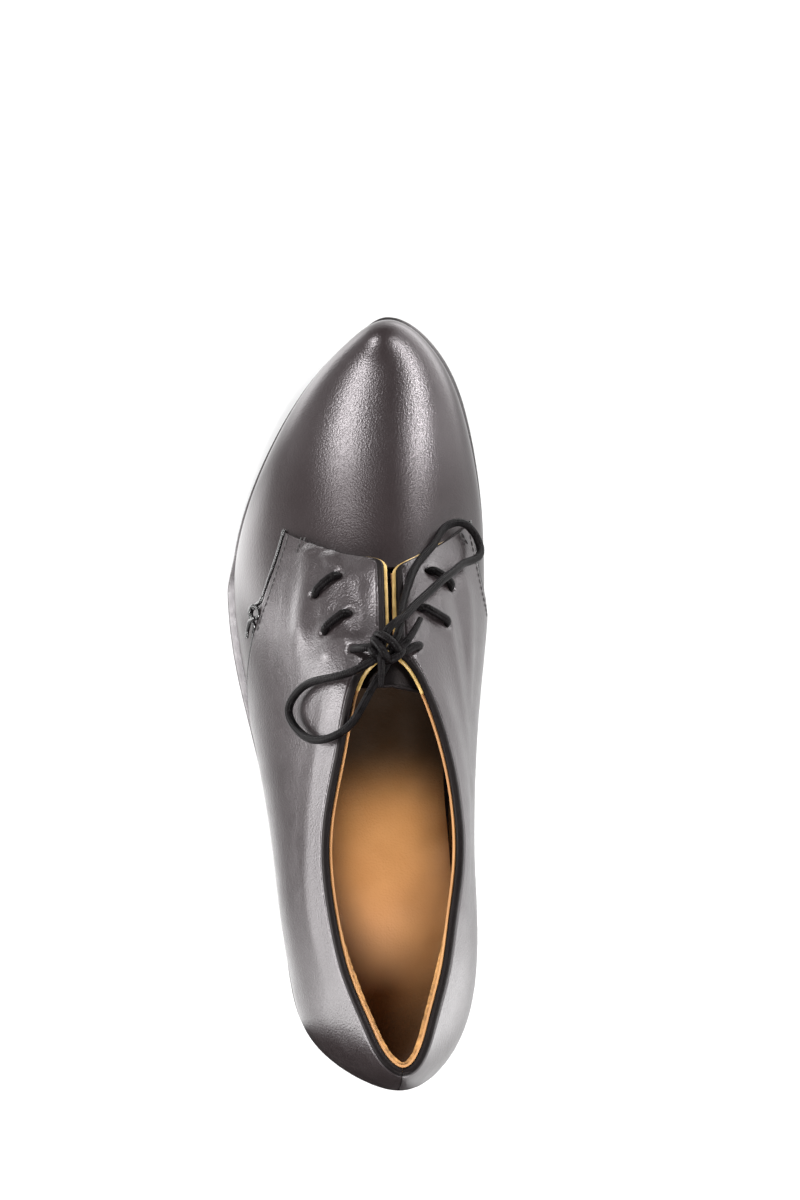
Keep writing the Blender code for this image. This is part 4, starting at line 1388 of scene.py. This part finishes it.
def lace_run_points(side):
    """Half of the lace from under the slit, by its two bars and the top hole, to the knot."""

    def at(place, height):
        return grown(side_u(place.u, side), place.v, height)

    def bar(first, last):
        share = np.linspace(0, 1, BAR_POINTS)[1:-1]
        u = side_u(first.u + (last.u - first.u) * share, side)
        v = first.v + (last.v - first.v) * share
        rise = BAR_HEIGHT + BAR_ARCH * np.sin(np.pi * share) + fold_height(last_point(u, v), side)
        return list(grown(u, v, rise))

    *pairs, top = HOLES[side.word]
    points = [at(UNDER_SLIT, UNDER_HEIGHT)]
    for first, last in zip(pairs[::2], pairs[1::2]):
        points += [at(first, UNDER_HEIGHT), *bar(first, last), at(last, UNDER_HEIGHT)]
    points.append(at(top, UNDER_HEIGHT))
    if side.sign < 0:
        points.append(at(top, MOUTH_HEIGHT + fold_height(at(top, 0.0), side)))
    points += [np.array(p) * MM for p in TOP_RUNS[side.word]]
    return np.array(points)


def build_lace_runs():
    """Lace through the holes of each quarter."""
    for side in SIDES:
        points = smooth_route(lace_run_points(side) / MM, LACE_STEP)
        run = cord_mesh(points, LACE_RADIUS, LACE_SIDES)
        nodes = ["lace_bar_%s_%s" % (side.word, place) for place in ("front", "back", "top")]
        add_cords("lace_run_" + side.word, [run], "lace_cord", nodes)


def build_bow():
    """Two loops with their free ends, each one cord, and the wraps of the knot that holds them."""
    wraps = []
    for wrap in KNOT_WRAPS:
        route = smooth_route(np.array(wrap) + KNOT_CENTRE, LACE_STEP)
        wraps.append(cord_mesh(route, LACE_RADIUS, LACE_SIDES))
    knot = add_cords("bow_knot", wraps, "lace_cord", ["lace_knot"])
    cords = (("bow_lateral", LATERAL_START + LATERAL_LOOP + LATERAL_PASS + MEDIAL_END,
              ["lace_loop_lateral", "lace_end_medial"], [knot]),
             ("bow_medial", MEDIAL_START + MEDIAL_LOOP + MEDIAL_PASS + LATERAL_END,
              ["lace_loop_medial", "lace_end_lateral"], []))
    for name, route, nodes, pieces in cords:
        points = smooth_route(route, LACE_STEP)
        worn = 1 - END_WEAR * smoothstep(1 - np.arange(len(points))[::-1] * LACE_STEP / END_WORN_LENGTH)
        loop = cord_mesh(points, LACE_RADIUS * worn, LACE_SIDES)
        cord = add_cords(name, [loop], "lace_cord", nodes)


SEAM_CORD_RADIUS = 0.7 * MM
SEAM_CORD_CLEARANCE = 0.3 * MM
SEAM_CORD_INSET_U = 0.15
SEAM_CORD_POINTS = 160
SEAM_CORD_SIDES = 10
SEAM_KNOT_U = 6.85
SEAM_KNOT_STEP = 0.4 * MM
SEAM_KNOT_HALF = 6.2 * MM
SEAM_KNOT_PROBE = 3

# Overhand knot on the lateral seam cord: along the seam, across it and up, in millimetres
SEAM_KNOT_ROUTE = [
    (6.0, 0.0, 0.0), (3.6, 0.5, 0.6), (1.6, 1.9, 1.2), (-0.6, 1.3, 2.0), (-1.6, -0.6, 1.7),
    (-0.2, -1.8, 1.0), (1.9, -1.0, 1.3), (2.3, 0.9, 2.3), (0.4, 1.6, 2.7), (-2.2, 0.4, 1.8),
    (-4.4, -0.9, 0.8), (-6.6, 0.0, 0.0)]
SEAM_KNOT_TAIL = [(-1.2, -1.2, 1.9), (-2.8, 0.2, 2.3), (-4.8, 1.6, 1.6), (-7.0, 2.4, 1.1), (-9.4, 2.2, 0.9)]


def knot_lines(line, up, middle):
    """The seam cord's lines where it is tied: up to the knot, after it, the knot and its tail."""
    ahead = unit(line[middle + SEAM_KNOT_PROBE] - line[middle - SEAM_KNOT_PROBE])
    axes = np.stack([ahead, unit(np.cross(up, ahead)), up])
    run = running_length(line)
    clear = np.abs(run - run[middle]) > SEAM_KNOT_HALF
    lines = [line[:middle][clear[:middle]], line[middle:][clear[middle:]]]
    for route in (SEAM_KNOT_ROUTE, SEAM_KNOT_TAIL):
        lines.append(smooth_route(line[middle] / MM + np.array(route) @ axes, SEAM_KNOT_STEP))
    return lines


def build_seam_cords():
    """Thin cord along the side edge of each quarter, tied in a small knot on the outer side."""
    for side in SIDES:
        places = np.linspace(side.edge[0].u + SEAM_CORD_INSET_U, side.edge[-1].u, SEAM_CORD_POINTS)
        u = side_u(places, side)
        v = edge_curve(side.edge)(places)
        climb = np.linalg.norm(last_point(u, v + CHART_STEP) - last_point(u, v), axis=-1)
        v = v - CHART_STEP * (SEAM_CORD_CLEARANCE + SEAM_CORD_RADIUS) / climb
        line = grown(u, v, SEAM_CORD_RADIUS)
        name = "seam_cord_" + side.word
        nodes = [name]
        lines = [line]
        if side.sign < 0:
            middle = int(np.argmin(np.abs(places - SEAM_KNOT_U)))
            lines = knot_lines(line, last_normal(u[middle], v[middle]), middle)
            nodes.append("seam_knot_lateral")
        cords = [cord_mesh(part, SEAM_CORD_RADIUS, SEAM_CORD_SIDES) for part in lines]
        add_cords(name + "_tied", cords, "seam_cord", nodes)


# Stitches

STITCH_LENGTH = 1.7 * MM
STITCH_GAP = 0.5 * MM
STITCH_POINTS = 6
STITCH_ARCH = 0.9
STITCH_SUNK = 0.6
THREAD_RADIUS = 0.24 * MM
THREAD_SIDES = 6
THREAD_CAP_RINGS = 2
ROW_SPACING = 1.5 * MM
ROW_SAMPLES = 200

# Rows of stitches on each quarter: chart places, and how many rows lie side by side
StitchRow = namedtuple("StitchRow", "side route rows")
STITCH_ROWS = [
    StitchRow(LATERAL, [(8.12, .523), (7.55, .487), (7.05, .440), (6.6, .350)], 1),
    StitchRow(LATERAL, [(8.09, .592), (7.92, .584), (7.76, .575)], 2),
    StitchRow(MEDIAL, [(8.30, .470), (8.05, .440), (7.37, .362), (6.93, .225)], 1),
    StitchRow(MEDIAL, [(8.20, .540), (8.10, .515), (8.03, .495)], 2),
]


def build_stitches():
    """Thread of the quarters' seams, one mesh of short rounded stitches."""
    cords = []
    share = np.linspace(0, 1, STITCH_POINTS)
    arch = THREAD_RADIUS * (STITCH_ARCH * np.sin(np.pi * share) - STITCH_SUNK)
    for row in STITCH_ROWS:
        side = row.side
        route = route_places(row.route, ROW_SAMPLES)
        u = side_u(route[:, 0], side)
        base = last_point(u, route[:, 1])
        normal = last_normal(u, route[:, 1])
        base = base + normal * (QUARTER_OUT + relief_at(base, side))[:, None]
        across = unit(np.cross(normal, np.gradient(base, axis=0)))
        for k in range(row.rows):
            line = base + across * ROW_SPACING * k
            run = running_length(line)
            for start in np.arange(0, run[-1] - STITCH_LENGTH, STITCH_LENGTH + STITCH_GAP):
                at = start + STITCH_LENGTH * share
                points = along_line(at, run, line) + along_line(at, run, normal) * arch[:, None]
                cords.append(cord_mesh(points, THREAD_RADIUS, THREAD_SIDES, THREAD_CAP_RINGS))
    add_cords("stitches", cords, "thread")


# Stage

FLOOR_HALF = 3.0
FLOOR_WHITE = 0.5
FLOOR_ROUGH = 0.9

# Glow of the floor: weak beside the shoe, strong farther out, in half sizes of the shoe's plan
SHOE_HALF = (0.045, 0.135, 1.0)
GLOW_START = 1.9
GLOW_FULL = 3.2
GLOW_NEAR = 0.3
GLOW_FAR = 2.4

# Sky from the horizon upwards: sine of the height, brightness
SKY = [(0.0, 1.4), (0.17, 0.9), (0.34, 0.5), (0.5, 0.25), (0.7, 0.08)]

# Bounce cards just under the floor, seen in gloss alone: soft straight edges and oval pools of light
SoftEdge = namedtuple("SoftEdge", "direction start end change")
Pool = namedtuple("Pool", "middle half glow")
BOUNCE_BASE = 0.8
BOUNCE_EDGES = [
    SoftEdge((1.0, 0.0, 0.0), -0.068, -0.050, 1.2),
    SoftEdge((1.0, 0.0, 0.0), 0.0, 0.05, -0.8),
    SoftEdge((1.0, 0.0, 0.0), 0.06, 0.12, 1.3),
    SoftEdge((-1.0, -0.9, 0.0), 0.180, 0.230, 6.0),
]
POOLS = [
    Pool((-0.085, 0.060, 0.0), (0.050, 0.050, 1.0), 6.5),
    Pool((-0.045, 0.150, 0.0), (0.040, 0.055, 1.0), 5.0),
    Pool((0.090, 0.200, 0.0), (0.095, 0.090, 1.0), 9.0),
    Pool((-0.280, 0.045, 0.0), (0.110, 0.065, 1.0), 7.0),
    Pool((0.120, -0.120, 0.0), (0.055, 0.055, 1.0), 2.5),
]

# Strip of floor along the outer side that stays dim, and the corner behind the heel that stays dark
DIM_STRIP = Pool((-0.100, -0.045, 0.0), (0.045, 0.090, 1.0), -0.5)
DARK_CORNER = [
    SoftEdge((0.437, -0.9, 0.0), 0.088, 0.095, 1.0),
    SoftEdge((-1.0, 0.0, 0.0), -0.04, -0.02, 1.0),
]
POOL_RIM = (0.4, 1.0)
BOUNCE_DEPTH = 0.5 * MM

# Dark end of the room ahead of the toe, by how far a direction points to +Y
DARK_AHEAD = (0.70, 0.90)
DARK_AHEAD_SHARE = 0.12

# Soft panels: place, aim, size in metres and power in watts
Lamp = namedtuple("Lamp", "name place aim size_x size_y power")
LAMPS = [
    Lamp("left_panel", (-1.00, -0.06, 0.27), (0.0, -0.03, 0.06), 0.65, 0.46, 15.0),
    Lamp("right_panel", (1.00, 0.05, 0.40), (0.0, -0.02, 0.05), 1.0, 0.40, 6.0),
    Lamp("front_left", (-.490, 0.815, 0.780), (0.0, 0.08, 0.03), 0.31, 0.13, 11.5),
    Lamp("front_right", (.683, 0.713, 0.734), (0.0, 0.08, 0.03), 0.30, 0.15, 11.5),
    Lamp("low_right", (0.70, 0.80, 0.12), (0.0, 0.08, 0.03), 0.55, 0.22, 1.9),
    Lamp("overhead", (0.05, -0.72, 1.22), (0.0, -0.05, 0.03), 0.40, 0.40, 26.0),
]


def grey(brightness):
    return (brightness, brightness, brightness, 1.0)


def floor_material():
    """White floor that glows a little beside the shoe and more farther out."""
    settings = {"Roughness": FLOOR_ROUGH, "Base Color": grey(FLOOR_WHITE), "Emission Color": grey(1.0)}
    material, tree, shader, place = start_material("pale_floor", settings)
    away = oval_distance(tree, place, (0.0, 0.0, 0.0), SHOE_HALF)
    glow = eased(tree, away, GLOW_START, GLOW_FULL, GLOW_NEAR, GLOW_FAR)
    tree.links.new(glow, shader.inputs["Emission Strength"])
    return material


def edge_glow(tree, place, edge):
    """Change of the glow past one soft straight edge."""
    across = vector_sums(tree, "DOT_PRODUCT", place, edge.direction)["Value"]
    return eased(tree, across, edge.start, edge.end, 0.0, edge.change)


def pool_glow(tree, place, pool):
    """Light of one oval pool, soft towards its rim."""
    away = oval_distance(tree, place, pool.middle, pool.half)
    return eased(tree, away, *POOL_RIM, pool.glow, 0.0)


def bounce_material():
    """Bounce cards round the shoe, with a dark corner behind the heel."""
    settings = {"Roughness": FLOOR_ROUGH, "Base Color": grey(0.0), "Emission Color": grey(1.0)}
    material, tree, shader, place = start_material("bounce_cards", settings)
    glow = BOUNCE_BASE
    for edge in BOUNCE_EDGES:
        glow = sums(tree, "ADD", edge_glow(tree, place, edge), glow)
    for pool in POOLS + [DIM_STRIP]:
        glow = sums(tree, "ADD", pool_glow(tree, place, pool), glow)
    first, second = (edge_glow(tree, place, edge) for edge in DARK_CORNER)
    lit = sums(tree, "SUBTRACT", 1.0, sums(tree, "MULTIPLY", first, second))
    tree.links.new(sums(tree, "MULTIPLY", glow, lit), shader.inputs["Emission Strength"])
    return material


def add_floor(name, z, material):
    """Wide level square round the shoe."""
    mesh = bpy.data.meshes.new(name)
    corners = [(x * FLOOR_HALF, y * FLOOR_HALF, z) for x, y in ((-1, -1), (1, -1), (1, 1), (-1, 1))]
    mesh.from_pydata(corners, [], [(0, 1, 2, 3)])
    mesh.materials.append(material)
    floor = add_object(name, mesh)
    return floor


def build_floor():
    """Pale floor that gloss does not see, and the bounce cards that only gloss sees."""
    floor = add_floor("floor", 0.0, floor_material())
    floor.visible_glossy = False
    cards = add_floor("bounce_cards", -BOUNCE_DEPTH, bounce_material())
    cards.visible_camera = False
    cards.visible_diffuse = False
    cards.visible_shadow = False


def build_sky():
    """Sky that brightens towards the horizon and is dark ahead of the toe."""
    world = bpy.data.worlds.new("studio")
    bpy.context.scene.world = world
    world.use_nodes = True
    tree = world.node_tree
    place = tree.nodes.new("ShaderNodeTexCoord").outputs["Generated"]
    direction = axes_of(tree, place)
    sky = ramp(tree, direction["Z"], [(rise, (glow,) * 3) for rise, glow in SKY])
    ahead = eased(tree, direction["Y"], *DARK_AHEAD, 1.0, DARK_AHEAD_SHARE)
    tree.links.new(scaled(tree, sky, ahead), tree.nodes["Background"].inputs["Color"])


def build_lamps():
    for lamp in LAMPS:
        data = bpy.data.lights.new(lamp.name, "AREA")
        data.shape = "RECTANGLE"
        data.size = lamp.size_x
        data.size_y = lamp.size_y
        data.energy = lamp.power
        light = add_object(lamp.name, data)
        light.location = lamp.place
        light.rotation_mode = "QUATERNION"
        light.rotation_quaternion = (Vector(lamp.aim) - Vector(lamp.place)).to_track_quat("-Z", "Y")


def build_camera():
    """Camera of the photograph, upright along the shoe."""
    data = bpy.data.cameras.new("photo_camera")
    data.sensor_fit = "VERTICAL"
    data.sensor_height = SENSOR_HEIGHT
    data.lens = FOCAL_LENGTH
    camera = add_object("photo_camera", data)
    back = (EYE - AIM).normalized()
    right = Vector((0.0, 1.0, 0.0)).cross(back).normalized()
    turn = Matrix((right, back.cross(right), back)).transposed()
    camera.matrix_world = Matrix.Translation(EYE) @ turn.to_4x4()
    bpy.context.scene.camera = camera
    bpy.context.scene.view_settings.view_transform = "Standard"


build_vamp()
build_lining()
build_heel_grip()
for shoe_side in SIDES:
    build_facing_lining(shoe_side)
build_tongue()
build_sole()
build_sock()
build_heel()
build_lace_runs()
build_bow()
build_seam_cords()
build_stitches()
build_floor()
build_sky()
build_lamps()
build_camera()

bpy.context.view_layer.update()
